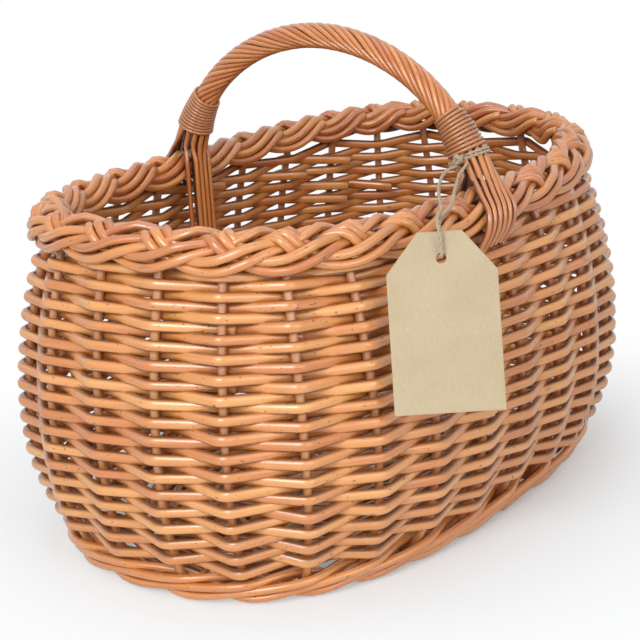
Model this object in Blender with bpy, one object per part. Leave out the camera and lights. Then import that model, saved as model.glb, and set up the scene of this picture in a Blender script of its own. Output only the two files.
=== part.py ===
"""A bellied oval willow basket with a roped hoop handle and a card tag on twine. Metres, +Z up."""

import math

import bmesh
import bpy
import numpy as np

# The wall's middle line seen from above at its widest, and how far the other levels stand inside it
BELLY_HALF_LENGTH = 0.2032
BELLY_HALF_WIDTH = 0.1418
BELLY_SQUARENESS_SHARE = 2.95
BELLY_HEIGHT = 0.0814
FOOT_END_INSET = 0.0157
FOOT_SIDE_INSET = 0.0249
FOOT_SQUARENESS_SHARE = 2.45
SHOULDER_END_INSET = 0.0140
SHOULDER_SIDE_INSET = 0.0130
SHOULDER_SQUARENESS_SHARE = 2.64
BORDER_END_LEAN = 0.0025
BORDER_SIDE_LEAN = 0.0048
BORDER_SQUARENESS_SHARE = 2.69
BORDER_HEIGHT = 0.1945
RIM_END_RISE = 0.0077

# The upright stakes
STAKE_COUNT = 27
STAKE_RADIUS = 0.0026
STAKE_SIDES = 5
STAKE_WALL_PIECES = 5
STAKE_BEND_REACH = 0.0070
STAKE_BEND_PIECES = 2
STAKE_TOP_DROP = 0.0012
FOOT_LEVEL = 0.0069
WALL_LEVEL = 0.0165

# The siding: flat-sided rods that pass one stake in front and the next behind
BAND_COUNT = 6
ROW_HALF_THICKNESS = 0.0021
ROW_HALF_HEIGHT = 0.0022
ROW_GAP = 0.00077
FIRST_ROW_GAP = 0.0025
BAND_END_SHARE = 0.25
BAND_START_SHARE = 0.32

# The upsett at the foot: four passes of one round rod
WALE_RADIUS = 0.0023
WALE_SIDES = 5
WALE_PASSES = 4
WALE_STEP = 0.0051
WALE_DIP = 0.0072
WALE_EASE = 0.0005
STANDING_CUT_DEPTH = 0.05

# The base mat: long and cross sticks and two chasing weavers
BASE_STICK_RADIUS = 0.0026
BASE_STICK_SIDES = 5
LONG_STICK_COUNT = 3
LONG_STICK_PITCH = 0.0062
LONG_STICK_FAN = 0.0500
CROSS_STICK_COUNT = 5
CROSS_STICK_END_GAP = 0.0050
MAT_CORE_INSET = 0.1025
MAT_CORE_HALF_WIDTH = 0.0100
MAT_LEVEL_LENGTH = 0.0170
MAT_EDGE_INSET = 0.0190
MAT_WEAVER_COUNT = 2
MAT_WEAVER_GAP = 0.0012
MAT_WEAVER_HALF_THICKNESS = 0.0013
MAT_WEAVER_HALF_WIDTH = 0.0028

# The plaited border: three closed strands
STRAND_COUNT = 3
STRAND_RADIUS = 0.0030
STRAND_SIDES = 5
ROLL_HOLLOW = 0.0021
ROLL_SLACK = 0.0010
ROLL_STRETCH_SHARE = 1.6
ROLL_MIDDLE_ANGLE = math.radians(18)
ROLL_SWING_ANGLE = math.radians(106)
ROLL_LEAN_ANGLE = math.radians(12)

# The handle: a core and six twisted rods
HANDLE_SPRING_RISE = 0.0014
HANDLE_RISE = 0.0960
HANDLE_INSET = 0.0091
HANDLE_ROUND_SHARE = 1.02
CORE_RADIUS = 0.0027
CORE_SIDES = 6
ROPING_COUNT = 6
ROPING_SIDES = 5
ROPING_RADIUS = 0.0023
ROPING_GAP = 0.0007
ROPING_TURN_COUNT_SHARE = 2.5
ROPING_STEP_COUNT = 24
COLLAR_FOOT_RISE = 0.0325
COLLAR_LENGTH = 0.0252
LEG_TOP_DROP = 0.0127
COLLAR_FOOT_REACH = 0.0084
COLLAR_STEP_COUNT = 3

# The legs below the collars
LEG_SPREAD = 0.0066
LEG_STEP_COUNT = 6
LEG_OVER = 0.0120
LEG_UNDER = 0.0060
OUTER_LEG_DEPTH = 0.0155
INNER_LEG_SLACK = 0.0019
INNER_LEG_DEPTH = 0.0645
LEG_SIDE_SHARE = 0.5
LEG_OUTSIDE_SHARE = 0.25
LEG_INSIDE_SHARE = -0.75

# The collars' wound cane
CANE_HALF_WIDTH = 0.00075
CANE_HALF_THICKNESS = 0.0006
CANE_LOOPS = 11
CANE_POINTS_PER_LOOP = 10

# The least clear space left between neighbouring pieces
CLEARANCE = 0.0003
WEAVE_CLEARANCE = 0.0006

# The twine and the card tag
TWINE_RADIUS = 0.0010
TWINE_SIDES = 6
HITCH_POINTS = 14
HITCH_DROP = 0.0026
HITCH_CLEARANCE = 0.0010
HITCH_KNOT_ANGLE = math.radians(-62)
TWINE_POINT_COUNT = 52
TAG_WIDTH = 0.0594
TAG_HEIGHT = 0.0965
TAG_THICKNESS = 0.0009
TAG_TOP_WIDTH = 0.0239
TAG_CHAMFER_DROP = 0.0217
TAG_HOLE_DROP = 0.0143
TAG_HOLE_RADIUS = 0.0028
TAG_HOLE_SIDES = 16
TAG_HOLE_LEFT = 0.0985
TAG_HOLE_STAND_OFF = 0.0122
TAG_HOLE_BELOW_BORDER = 0.0010
TAG_FACING_SHARES = (-0.73939, -0.60112, 0.30323)
TWINE_LEFT_ROUTE = (
    (-0.0150, -0.1109, 0.2224),
    (-0.0235, -0.1090, 0.2212),
    (-0.0354, -0.1126, 0.2185),
    (-0.0505, -0.1212, 0.2155),
    (-0.0660, -0.1333, 0.2110),
)
TWINE_RIGHT_ROUTE = (
    (-0.0611, -0.1360, 0.2115),
    (-0.0414, -0.1265, 0.2165),
    (-0.0271, -0.1200, 0.2205),
    (-0.0190, -0.1182, 0.2232),
    (-0.0133, -0.1168, 0.2245),
)
TWINE_TURN_RADIUS = 0.0041
TWINE_TURN_STEPS = 6
TWINE_CLIMB = 0.0060

# Surface colour, roughness of each material
WILLOW_STAKE = ("willow_stake", (0.45, 0.19, 0.075), 0.42)
WILLOW_SIDING = ("willow_siding", (0.56, 0.23, 0.085), 0.38)
WILLOW_UPSETT = ("willow_upsett", (0.50, 0.20, 0.075), 0.40)
WILLOW_BASE = ("willow_base", (0.42, 0.19, 0.08), 0.50)
WILLOW_BORDER = ("willow_border", (0.53, 0.21, 0.08), 0.36)
WILLOW_HANDLE = ("willow_handle", (0.55, 0.22, 0.08), 0.36)
CANE = ("binding_cane", (0.48, 0.18, 0.065), 0.38)
JUTE = ("jute_twine", (0.42, 0.27, 0.14), 0.90)
CARD = ("kraft_card", (0.55, 0.40, 0.25), 0.85)

# Sizes that follow from those above
BELLY_OUTLINE = np.array([BELLY_HALF_LENGTH, BELLY_HALF_WIDTH, BELLY_SQUARENESS_SHARE])
FOOT_HALF_LENGTH = BELLY_HALF_LENGTH - FOOT_END_INSET
FOOT_HALF_WIDTH = BELLY_HALF_WIDTH - FOOT_SIDE_INSET
FOOT_OUTLINE = np.array([FOOT_HALF_LENGTH, FOOT_HALF_WIDTH, FOOT_SQUARENESS_SHARE])
SHOULDER_HALF_LENGTH = BELLY_HALF_LENGTH - SHOULDER_END_INSET
SHOULDER_HALF_WIDTH = BELLY_HALF_WIDTH - SHOULDER_SIDE_INSET
SHOULDER_OUTLINE = np.array([SHOULDER_HALF_LENGTH, SHOULDER_HALF_WIDTH, SHOULDER_SQUARENESS_SHARE])
BORDER_HALF_LENGTH = SHOULDER_HALF_LENGTH - BORDER_END_LEAN
BORDER_HALF_WIDTH = SHOULDER_HALF_WIDTH - BORDER_SIDE_LEAN
BORDER_OUTLINE = np.array([BORDER_HALF_LENGTH, BORDER_HALF_WIDTH, BORDER_SQUARENESS_SHARE])
ROLL_RADIUS = 2 * STRAND_RADIUS + ROLL_HOLLOW
ROLL_DEPTH = STRAND_RADIUS + ROLL_SLACK
FIRST_ROW_HEIGHT = WALL_LEVEL + ROW_HALF_HEIGHT + FIRST_ROW_GAP
LAST_ROW_HEIGHT = BORDER_HEIGHT - ROLL_RADIUS - STRAND_RADIUS - ROW_HALF_HEIGHT
ROW_COUNT = 1 + round((LAST_ROW_HEIGHT - FIRST_ROW_HEIGHT) / (2 * ROW_HALF_HEIGHT + ROW_GAP))
BASE_STICK_RISE = BASE_STICK_RADIUS + CLEARANCE
MAT_CORE_HALF_LENGTH = FOOT_HALF_LENGTH - MAT_CORE_INSET
MAT_FLAT_HALF_LENGTH = MAT_CORE_HALF_LENGTH + MAT_LEVEL_LENGTH
MAT_FLAT_HALF_WIDTH = MAT_CORE_HALF_WIDTH + MAT_LEVEL_LENGTH
CROSS_STICK_PITCH = (MAT_CORE_HALF_LENGTH - CROSS_STICK_END_GAP) / (CROSS_STICK_COUNT // 2)
MAT_WEAVER_PITCH = 2 * MAT_WEAVER_HALF_WIDTH + MAT_WEAVER_GAP
MAT_START_INSET = MAT_EDGE_INSET + (MAT_WEAVER_COUNT - 1) * MAT_WEAVER_PITCH
MAT_WOVEN_LENGTH = FOOT_HALF_LENGTH - MAT_START_INSET - MAT_FLAT_HALF_LENGTH
MAT_WOVEN_WIDTH = FOOT_HALF_WIDTH - MAT_START_INSET - MAT_FLAT_HALF_WIDTH
MAT_TURNS = int(min(MAT_WOVEN_LENGTH, MAT_WOVEN_WIDTH) / (MAT_WEAVER_COUNT * MAT_WEAVER_PITCH))
HANDLE_HALF_SPAN = BORDER_HALF_WIDTH - HANDLE_INSET
ROPING_REACH = CORE_RADIUS + ROPING_RADIUS + ROPING_GAP
OUTER_LEG_REACH = ROLL_RADIUS + ROLL_DEPTH + STRAND_RADIUS + ROPING_RADIUS
INNER_LEG_CLEAR = ROLL_RADIUS + STRAND_RADIUS + ROPING_RADIUS + INNER_LEG_SLACK
INNER_LEG_STAGGER = CORE_RADIUS + ROPING_RADIUS + WEAVE_CLEARANCE
TAG_HOLE_FORWARD = BELLY_HALF_WIDTH + TAG_HOLE_STAND_OFF
TAG_HOLE_HEIGHT = BORDER_HEIGHT - TAG_HOLE_BELOW_BORDER
UP = np.array([0.0, 0.0, 1.0])
ALONG = np.array([1.0, 0.0, 0.0])
SEARCH_STEPS = 40
SETTLE_STEPS = 6
OUTLINE_SAMPLES = 7200
ARCH_SAMPLES = 3600
MITRE_SHARE = 0.5
STRAIGHT_SHARE = 0.001
SMOOTH_ANGLE = math.radians(60)


def superellipse(half_length, half_width, squareness, angle):
    """The point of the rounded oval at the given parameter angle."""
    c = math.cos(angle)
    s = math.sin(angle)
    x = half_length * math.copysign(abs(c) ** (2 / squareness), c)
    y = half_width * math.copysign(abs(s) ** (2 / squareness), s)
    return np.array([x, y])


def unit(vector):
    return vector / np.linalg.norm(vector)


def clear_scene():
    for thing in list(bpy.data.objects):
        bpy.data.objects.remove(thing, do_unlink=True)


def material(recipe):
    """A plain principled surface of the given colour and roughness."""
    name, colour, roughness = recipe
    found = bpy.data.materials.get(name)
    if found:
        return found
    made = bpy.data.materials.new(name)
    made.use_nodes = True
    surface = made.node_tree.nodes["Principled BSDF"]
    surface.inputs["Base Color"].default_value = (*colour, 1.0)
    surface.inputs["Roughness"].default_value = roughness
    surface.inputs["Metallic"].default_value = 0.0
    return made


def add_object(name, data, recipe):
    data.materials.append(material(recipe))
    thing = bpy.data.objects.new(name, data)
    bpy.context.scene.collection.objects.link(thing)
    return thing


def add_mesh(name, points, faces, recipe, round_piece=True):
    """A closed mesh body from points and faces."""
    data = bpy.data.meshes.new(name)
    data.from_pydata([tuple(point) for point in points], [], faces)
    shell = bmesh.new()
    shell.from_mesh(data)
    bmesh.ops.recalc_face_normals(shell, faces=shell.faces)
    shell.to_mesh(data)
    shell.free()
    if round_piece:
        data.shade_smooth()
        data.set_sharp_from_angle(angle=SMOOTH_ANGLE)
    return add_object(name, data, recipe)


def section(half_across, half_up, sides):
    """Corner places of a rod's cross-section: a rectangle for four sides, else a regular polygon."""
    if sides == 4:
        return np.array([(1, 1), (-1, 1), (-1, -1), (1, -1)]) * np.array([half_across, half_up])
    turns = 2 * math.pi * (np.arange(sides) + 0.5) / sides
    return np.column_stack([half_across * np.cos(turns), half_up * np.sin(turns)])


def carried_ups(points, first):
    """Directions square to the path, carried along it with no twist."""
    ups = []
    current = np.array(first, float)
    for index in range(len(points)):
        ahead = points[min(index + 1, len(points) - 1)] - points[max(index - 1, 0)]
        ahead = unit(ahead)
        current = unit(current - ahead * (current @ ahead))
        ups.append(current)
    return ups


def rod(name, points, ups, corners, recipe, closed=False):
    """A rod of constant section along a path, mitred at each bend."""
    points = [np.array(point, float) for point in points]
    count = len(points)
    sides = len(corners)
    rings = []
    for index, place in enumerate(points):
        before = points[index - 1] if closed or index > 0 else None
        after = points[(index + 1) % count] if closed or index < count - 1 else None
        inward = unit(place - before) if before is not None else unit(after - place)
        onward = unit(after - place) if after is not None else inward
        facing = unit(inward + onward)
        up = ups[index] - facing * (ups[index] @ facing)
        up = unit(up)
        across = np.cross(facing, up)
        bend = onward - inward
        widening = 1 / max(inward @ facing, MITRE_SHARE) - 1
        lean = unit(bend) if np.linalg.norm(bend) > STRAIGHT_SHARE else across
        for wide, high in corners:
            offset = across * wide + up * high
            rings.append(place + offset + lean * (offset @ lean) * widening)
    faces = []
    for index in range(count if closed else count - 1):
        following = (index + 1) % count
        for corner in range(sides):
            beside = (corner + 1) % sides
            faces.append(
                (
                    index * sides + corner,
                    index * sides + beside,
                    following * sides + beside,
                    following * sides + corner,
                )
            )
    if not closed:
        faces.append(tuple(range(sides)))
        faces.append(tuple(range((count - 1) * sides, count * sides)))
    return add_mesh(name, rings, faces, recipe)


def smooth_route(marks, count):
    """Evenly numbered points of a smooth curve through the marks."""
    marks = [np.array(mark, float) for mark in marks]
    lengths = [0.0]
    for first, second in zip(marks, marks[1:]):
        lengths.append(lengths[-1] + np.linalg.norm(second - first))
    slopes = []
    for index in range(len(marks)):
        low = max(index - 1, 0)
        high = min(index + 1, len(marks) - 1)
        slopes.append((marks[high] - marks[low]) / (lengths[high] - lengths[low]))
    route = []
    for place in np.linspace(0, lengths[-1], count):
        piece = min(np.searchsorted(lengths, place, side="right") - 1, len(marks) - 2)
        span = lengths[piece + 1] - lengths[piece]
        t = (place - lengths[piece]) / span
        route.append(
            marks[piece] * (2 * t**3 - 3 * t**2 + 1)
            + slopes[piece] * span * (t**3 - 2 * t**2 + t)
            + marks[piece + 1] * (3 * t**2 - 2 * t**3)
            + slopes[piece + 1] * span * (t**3 - t**2)
        )
    return route


def wall_outline(height):
    """Half length, half width and squareness of the wall's middle line, up to its shoulder at the last row."""
    if height < BELLY_HEIGHT:
        share = ((BELLY_HEIGHT - height) / BELLY_HEIGHT) ** 2
        return BELLY_OUTLINE + (FOOT_OUTLINE - BELLY_OUTLINE) * share
    share = ((height - BELLY_HEIGHT) / (LAST_ROW_HEIGHT - BELLY_HEIGHT)) ** 2
    return BELLY_OUTLINE + (SHOULDER_OUTLINE - BELLY_OUTLINE) * share


def crossing(outline, start, heading):
    """How far along the heading from the start the rounded oval is met, looking outward from well inside."""
    half_length, half_width, squareness = outline
    low = -half_width / 2
    high = 2 * half_length
    for _ in range(SEARCH_STEPS):
        middle = (low + high) / 2
        x, y = start + heading * middle
        inside = abs(x / half_length) ** squareness + abs(y / half_width) ** squareness < 1
        low, high = (middle, high) if inside else (low, middle)
    return (low + high) / 2


class Station:
    """A place on the belly's outline with the upright plane square to the wall there."""

    def __init__(self, foot):
        half_length, half_width, squareness = BELLY_OUTLINE
        slope_x = abs(foot[0] / half_length) ** (squareness - 1) / half_length
        slope_y = abs(foot[1] / half_width) ** (squareness - 1) / half_width
        self.foot = foot
        self.heading = unit(np.array([math.copysign(slope_x, foot[0]), math.copysign(slope_y, foot[1])]))
        self.outward = np.array([*self.heading, 0.0])
        rim = foot + self.heading * crossing(BORDER_OUTLINE, foot, self.heading)
        self.rise = RIM_END_RISE * (rim[0] / BORDER_HALF_LENGTH) ** 2
        self.border = np.array([*rim, BORDER_HEIGHT + self.rise])

    def lifted(self, height):
        """The height of a wall mark once the raised rim has drawn it up."""
        return height + self.rise * (height / BORDER_HEIGHT) ** 2

    def point(self, reach, height):
        return np.array([*(self.foot + self.heading * reach), height])

    def wall_mark(self, height):
        reach = crossing(wall_outline(height), self.foot, self.heading)
        return self.point(reach, self.lifted(height))


def stations(count):
    """Places spaced evenly round the belly's outline, the first at the middle of the near side."""
    turns = np.linspace(-math.pi / 2, 3 * math.pi / 2, OUTLINE_SAMPLES)
    outline = np.array([superellipse(*BELLY_OUTLINE, turn) for turn in turns])
    steps = np.linalg.norm(np.diff(outline, axis=0), axis=1)
    lengths = np.concatenate([[0.0], np.cumsum(steps)])
    wanted = lengths[-1] * np.arange(count) / count
    x = np.interp(wanted, lengths, outline[:, 0])
    y = np.interp(wanted, lengths, outline[:, 1])
    return [Station(np.array(place)) for place in zip(x, y)]


class Stake:
    """An upright: a short tail at the foot, a bend, the wall and an end inside the border's roll."""

    def __init__(self, station, mat_edge):
        self.station = station
        reach = crossing(wall_outline(FOOT_LEVEL), station.foot, station.heading)
        tail_reach = crossing(mat_edge, station.foot, station.heading)
        corner = station.point(reach, FOOT_LEVEL)
        bend_start = station.point(reach - STAKE_BEND_REACH, FOOT_LEVEL)
        bend_end = station.wall_mark(WALL_LEVEL)
        path = [station.point(tail_reach, FOOT_LEVEL)]
        for share in np.linspace(0, 1, STAKE_BEND_PIECES + 1):
            early = bend_start + (corner - bend_start) * share
            late = corner + (bend_end - corner) * share
            path.append(early + (late - early) * share)
        self.bend_index = 1 + STAKE_BEND_PIECES // 2
        self.wall_index = len(path) - 1
        self.heights = list(np.linspace(WALL_LEVEL, LAST_ROW_HEIGHT, STAKE_WALL_PIECES + 1))
        path += [station.wall_mark(height) for height in self.heights[1:]]
        path.append(station.border - UP * STAKE_TOP_DROP)
        self.heights.append(BORDER_HEIGHT - STAKE_TOP_DROP)
        self.path = path
        self.alongs = []
        for index in range(len(path)):
            before = path[max(index - 1, 0)]
            after = path[min(index + 1, len(path) - 1)]
            here = path[index]
            parts = [unit(step) for step in (here - before, after - here) if np.linalg.norm(step) > 0]
            self.alongs.append(unit(sum(parts)))

    def outward_from(self, along):
        """The direction out of the wall, square to the stake, which turns down under the foot's bend."""
        return np.cross(np.cross(UP, self.station.outward), along)

    def frame_at(self, index):
        """The place, the direction along and the direction out of the wall at a path point."""
        along = self.alongs[index]
        return self.path[index], along, self.outward_from(along)

    def wall_frame(self, height):
        """The same at a height on the wall."""
        piece = min(np.searchsorted(self.heights, height, side="right") - 1, len(self.heights) - 2)
        share = (height - self.heights[piece]) / (self.heights[piece + 1] - self.heights[piece])
        index = self.wall_index + piece
        place = self.path[index] + (self.path[index + 1] - self.path[index]) * share
        along = unit(self.alongs[index] + (self.alongs[index + 1] - self.alongs[index]) * share)
        return place, along, self.outward_from(along)

    def build(self, name):
        ups = [self.frame_at(index)[2] for index in range(len(self.path))]
        corners = section(STAKE_RADIUS, STAKE_RADIUS, STAKE_SIDES)
        return rod(name, self.path, ups, corners, WILLOW_STAKE)


def weave_offsets(places, outs, signs, least):
    """How far each crossing stands off its stake so that the rod's flat side clears it."""
    offsets = np.full(len(places), least)
    for _ in range(SETTLE_STEPS):
        path = places + outs * (signs * offsets)[:, None]
        steps = np.diff(path, axis=0)
        steps /= np.linalg.norm(steps, axis=1)[:, None]
        lean_before = np.abs(np.sum(steps * outs[1:], axis=1))
        lean_after = np.abs(np.sum(steps * outs[:-1], axis=1))
        lean = np.zeros(len(places))
        lean[1:] = lean_before
        lean[:-1] = np.maximum(lean[:-1], lean_after)
        offsets = least / np.sqrt(1 - lean**2)
    return offsets


def siding(stakes):
    """The wall's rows: one rising zigzag, parted into bands behind a stake."""
    total = ROW_COUNT * STAKE_COUNT
    frames = []
    for count in range(total):
        height = FIRST_ROW_HEIGHT + (LAST_ROW_HEIGHT - FIRST_ROW_HEIGHT) * count / (total - 1)
        frames.append(stakes[count % STAKE_COUNT].wall_frame(height))
    places = np.array([frame[0] for frame in frames])
    alongs = np.array([frame[1] for frame in frames])
    outs = np.array([frame[2] for frame in frames])
    signs = np.where(np.arange(total) % 2 == 0, 1.0, -1.0)
    least = STAKE_RADIUS + ROW_HALF_THICKNESS + WEAVE_CLEARANCE
    path = places + outs * (signs * weave_offsets(places, outs, signs, least))[:, None]
    corners = section(ROW_HALF_THICKNESS, ROW_HALF_HEIGHT, 4)
    band = total // BAND_COUNT // 2 * 2
    for number in range(BAND_COUNT):
        first = number * band
        last = total if number == BAND_COUNT - 1 else first + band
        points = list(path[first:last])
        ups = list(alongs[first:last])
        if first > 0:
            points.insert(0, path[first - 1] + (path[first] - path[first - 1]) * BAND_START_SHARE)
            ups.insert(0, alongs[first])
        if last < total:
            points.append(path[last - 1] + (path[last] - path[last - 1]) * BAND_END_SHARE)
            ups.append(alongs[last - 1])
        rod(f"siding_band_{number + 1}", points, ups, corners, WILLOW_SIDING)


def upsett(stakes):
    """One rod laid four times round the foot: out before three stakes and in behind the fourth."""
    stand_off = STAKE_RADIUS + WALE_RADIUS + CLEARANCE + WALE_EASE
    at_stake = ((-stand_off, 0), (stand_off, -WALE_STEP), (stand_off, 0), (stand_off, WALE_STEP))
    between = ((0, -WALE_DIP), None, None, (0, WALE_DIP))
    points = []
    ups = []
    for count in range(WALE_PASSES * STAKE_COUNT):
        here = stakes[count % STAKE_COUNT].frame_at(stakes[0].bend_index)
        there = stakes[(count + 1) % STAKE_COUNT].frame_at(stakes[0].bend_index)
        middle = [(first + second) / 2 for first, second in zip(here, there)]
        for frame, move in ((here, at_stake[count % 4]), (middle, between[count % 4])):
            if move:
                place, along, outward = frame
                points.append(place + unit(outward) * move[0] + unit(along) * move[1])
                ups.append(unit(along))
    corners = section(WALE_RADIUS, WALE_RADIUS, WALE_SIDES)
    wale = rod("upsett_wale", points, ups, corners, WILLOW_UPSETT, closed=True)
    cutter = standing_cutter()
    cut = wale.modifiers.new("standing_flat", "BOOLEAN")
    cut.operation = "DIFFERENCE"
    cut.solver = "EXACT"
    cut.object = cutter


def standing_cutter():
    """A slab whose top face is the plane that the basket stands on."""
    half_length = BELLY_HALF_LENGTH + STANDING_CUT_DEPTH
    half_width = BELLY_HALF_WIDTH + STANDING_CUT_DEPTH
    points = [
        (x, y, z)
        for z in (-STANDING_CUT_DEPTH, 0)
        for x, y in (
            (-half_length, -half_width),
            (half_length, -half_width),
            (half_length, half_width),
            (-half_length, half_width),
        )
    ]
    faces = [(0, 1, 2, 3), (4, 5, 6, 7), (0, 1, 5, 4), (1, 2, 6, 5), (2, 3, 7, 6), (3, 0, 4, 7)]
    cutter = add_mesh("standing_cutter", points, faces, WILLOW_UPSETT, round_piece=False)
    cutter.hide_render = True
    cutter.display_type = "WIRE"
    return cutter


def mat_edge_outline(inset):
    """The base mat's outline at a distance inside the foot of the wall."""
    half_length, half_width, squareness = wall_outline(FOOT_LEVEL)
    return np.array([half_length - inset, half_width - inset, squareness])


def long_spoke(number):
    """Where a long stick's straight middle ends on the right and the way that it fans out from there."""
    start = np.array([MAT_CORE_HALF_LENGTH, number * LONG_STICK_PITCH])
    run = mat_edge_outline(MAT_EDGE_INSET)[0] - MAT_CORE_HALF_LENGTH
    return start, unit(np.array([run, number * LONG_STICK_FAN]))


def base_spokes():
    """Each base stick end as a start and a heading seen from above, counted round from the right."""
    half = LONG_STICK_COUNT // 2
    spokes = [long_spoke(number) for number in range(-half, half + 1)]
    half = CROSS_STICK_COUNT // 2
    for number in range(half, -half - 1, -1):
        start = np.array([number * CROSS_STICK_PITCH, MAT_CORE_HALF_WIDTH])
        spokes.append((start, np.array([0.0, 1.0])))
    spokes += [(-start, -heading) for start, heading in spokes]
    return spokes


def spoke_end(start, heading):
    """Where a spoke meets the mat's edge, seen from above."""
    return start + heading * crossing(mat_edge_outline(MAT_EDGE_INSET), start, heading)


def base_sticks():
    """The long sticks lie over the cross sticks in the middle, and all come level in the woven part."""
    corners = section(BASE_STICK_RADIUS, BASE_STICK_RADIUS, BASE_STICK_SIDES)
    half = LONG_STICK_COUNT // 2
    for number in range(-half, half + 1):
        start, heading = long_spoke(number)
        flat = start + heading * (MAT_FLAT_HALF_LENGTH - MAT_CORE_HALF_LENGTH)
        end = spoke_end(start, heading)
        points = []
        for side in (-1, 1):
            marks = [
                (side * start[0], start[1], FOOT_LEVEL + BASE_STICK_RISE),
                (side * flat[0], flat[1], FOOT_LEVEL),
                (side * end[0], end[1], FOOT_LEVEL),
            ]
            points = marks[::-1] if side < 0 else points + marks
        rod(f"base_long_stick_{number + half + 1}", points, [UP] * len(points), corners, WILLOW_BASE)
    half = CROSS_STICK_COUNT // 2
    for number in range(-half, half + 1):
        x = number * CROSS_STICK_PITCH
        end = spoke_end(np.array([x, MAT_CORE_HALF_WIDTH]), np.array([0.0, 1.0]))
        points = [
            (x, -end[1], FOOT_LEVEL),
            (x, -MAT_FLAT_HALF_WIDTH, FOOT_LEVEL),
            (x, -MAT_CORE_HALF_WIDTH, FOOT_LEVEL - BASE_STICK_RISE),
            (x, MAT_CORE_HALF_WIDTH, FOOT_LEVEL - BASE_STICK_RISE),
            (x, MAT_FLAT_HALF_WIDTH, FOOT_LEVEL),
            (x, end[1], FOOT_LEVEL),
        ]
        rod(f"base_cross_stick_{number + half + 1}", points, [UP] * len(points), corners, WILLOW_BASE)


def base_weavers():
    """Two rods that chase each other outward round the sticks, one over where the other goes under."""
    spokes = base_spokes()
    corners = section(MAT_WEAVER_HALF_WIDTH, MAT_WEAVER_HALF_THICKNESS, 4)
    least = BASE_STICK_RADIUS + MAT_WEAVER_HALF_THICKNESS + WEAVE_CLEARANCE
    turn_inset = MAT_WEAVER_PITCH * MAT_WEAVER_COUNT
    inner_inset = MAT_START_INSET + turn_inset * MAT_TURNS
    total = MAT_TURNS * len(spokes)
    for weaver in range(MAT_WEAVER_COUNT):
        places = []
        for count in range(total):
            start, heading = spokes[count % len(spokes)]
            share = count / (total - 1)
            inset = inner_inset - turn_inset * MAT_TURNS * share - MAT_WEAVER_PITCH * weaver
            outline = mat_edge_outline(inset)
            place = start + heading * crossing(outline, start, heading)
            places.append(np.array([*place, FOOT_LEVEL]))
        places = np.array(places)
        outs = np.tile(UP, (len(places), 1))
        signs = np.where((np.arange(len(places)) + weaver) % 2 == 0, 1.0, -1.0)
        path = places + outs * (signs * weave_offsets(places, outs, signs, least))[:, None]
        rod(f"base_weaver_{weaver + 1}", list(path), list(outs), corners, WILLOW_BASE)


def border(half_stations):
    """Three strands plaited in a roll over the stake ends, one beat of the plait to a stake."""
    corners = section(STRAND_RADIUS, STRAND_RADIUS, STRAND_SIDES)
    for number in range(STRAND_COUNT):
        points = []
        ups = []
        for index, station in enumerate(half_stations):
            phase = 2 * math.pi * (index / 2 + number) / STRAND_COUNT
            turn = ROLL_MIDDLE_ANGLE + ROLL_SWING_ANGLE * math.cos(phase)
            reach = ROLL_RADIUS + ROLL_DEPTH * math.sin(2 * phase)
            crest = UP * math.cos(ROLL_LEAN_ANGLE) - station.outward * math.sin(ROLL_LEAN_ANGLE)
            brow = station.outward * math.cos(ROLL_LEAN_ANGLE) + UP * math.sin(ROLL_LEAN_ANGLE)
            out = brow * (reach * math.sin(turn))
            lift = crest * (reach * math.cos(turn) * ROLL_STRETCH_SHARE)
            points.append(station.border + out + lift)
            ups.append(unit(brow * math.sin(turn) + crest * math.cos(turn)))
        rod(f"border_strand_{number + 1}", points, ups, corners, WILLOW_BORDER, closed=True)


class Hoop:
    """The handle's middle line, a round arch standing over the basket's middle."""

    def __init__(self):
        turns = np.linspace(0, math.pi, ARCH_SAMPLES)
        swing = np.abs(np.cos(turns)) ** HANDLE_ROUND_SHARE
        lift = np.abs(np.sin(turns)) ** HANDLE_ROUND_SHARE
        self.y = -HANDLE_HALF_SPAN * np.sign(np.cos(turns)) * swing
        self.z = BORDER_HEIGHT + HANDLE_SPRING_RISE + HANDLE_RISE * lift
        self.lengths = np.concatenate([[0.0], np.cumsum(np.hypot(np.diff(self.y), np.diff(self.z)))])
        self.length = self.lengths[-1]
        near = slice(0, ARCH_SAMPLES // 2)
        self.collar_foot = np.interp(BORDER_HEIGHT + COLLAR_FOOT_RISE, self.z[near], self.lengths[near])
        self.collar_top = self.collar_foot + COLLAR_LENGTH
        self.leg_top = self.collar_foot - LEG_TOP_DROP

    def frame(self, length):
        """The place, the direction along and the direction out of the arch at a length along it."""
        place = self.at(length)
        step = self.length / ARCH_SAMPLES
        ahead = unit(self.at(length + step) - self.at(length - step))
        return place, ahead, np.cross(ALONG, ahead)

    def at(self, length):
        y = np.interp(length, self.lengths, self.y)
        z = np.interp(length, self.lengths, self.z)
        return np.array([0.0, y, z])

    def around(self, length, reach, turn):
        """A point beside the middle line, turned from its outer side."""
        place, _, outward = self.frame(length)
        return place + outward * (reach * math.cos(turn)) + ALONG * (reach * math.sin(turn))


def collar_reach(share):
    """The roping rods stand further from the core toward a collar's foot."""
    return ROPING_REACH + (COLLAR_FOOT_REACH - ROPING_REACH) * share


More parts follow.
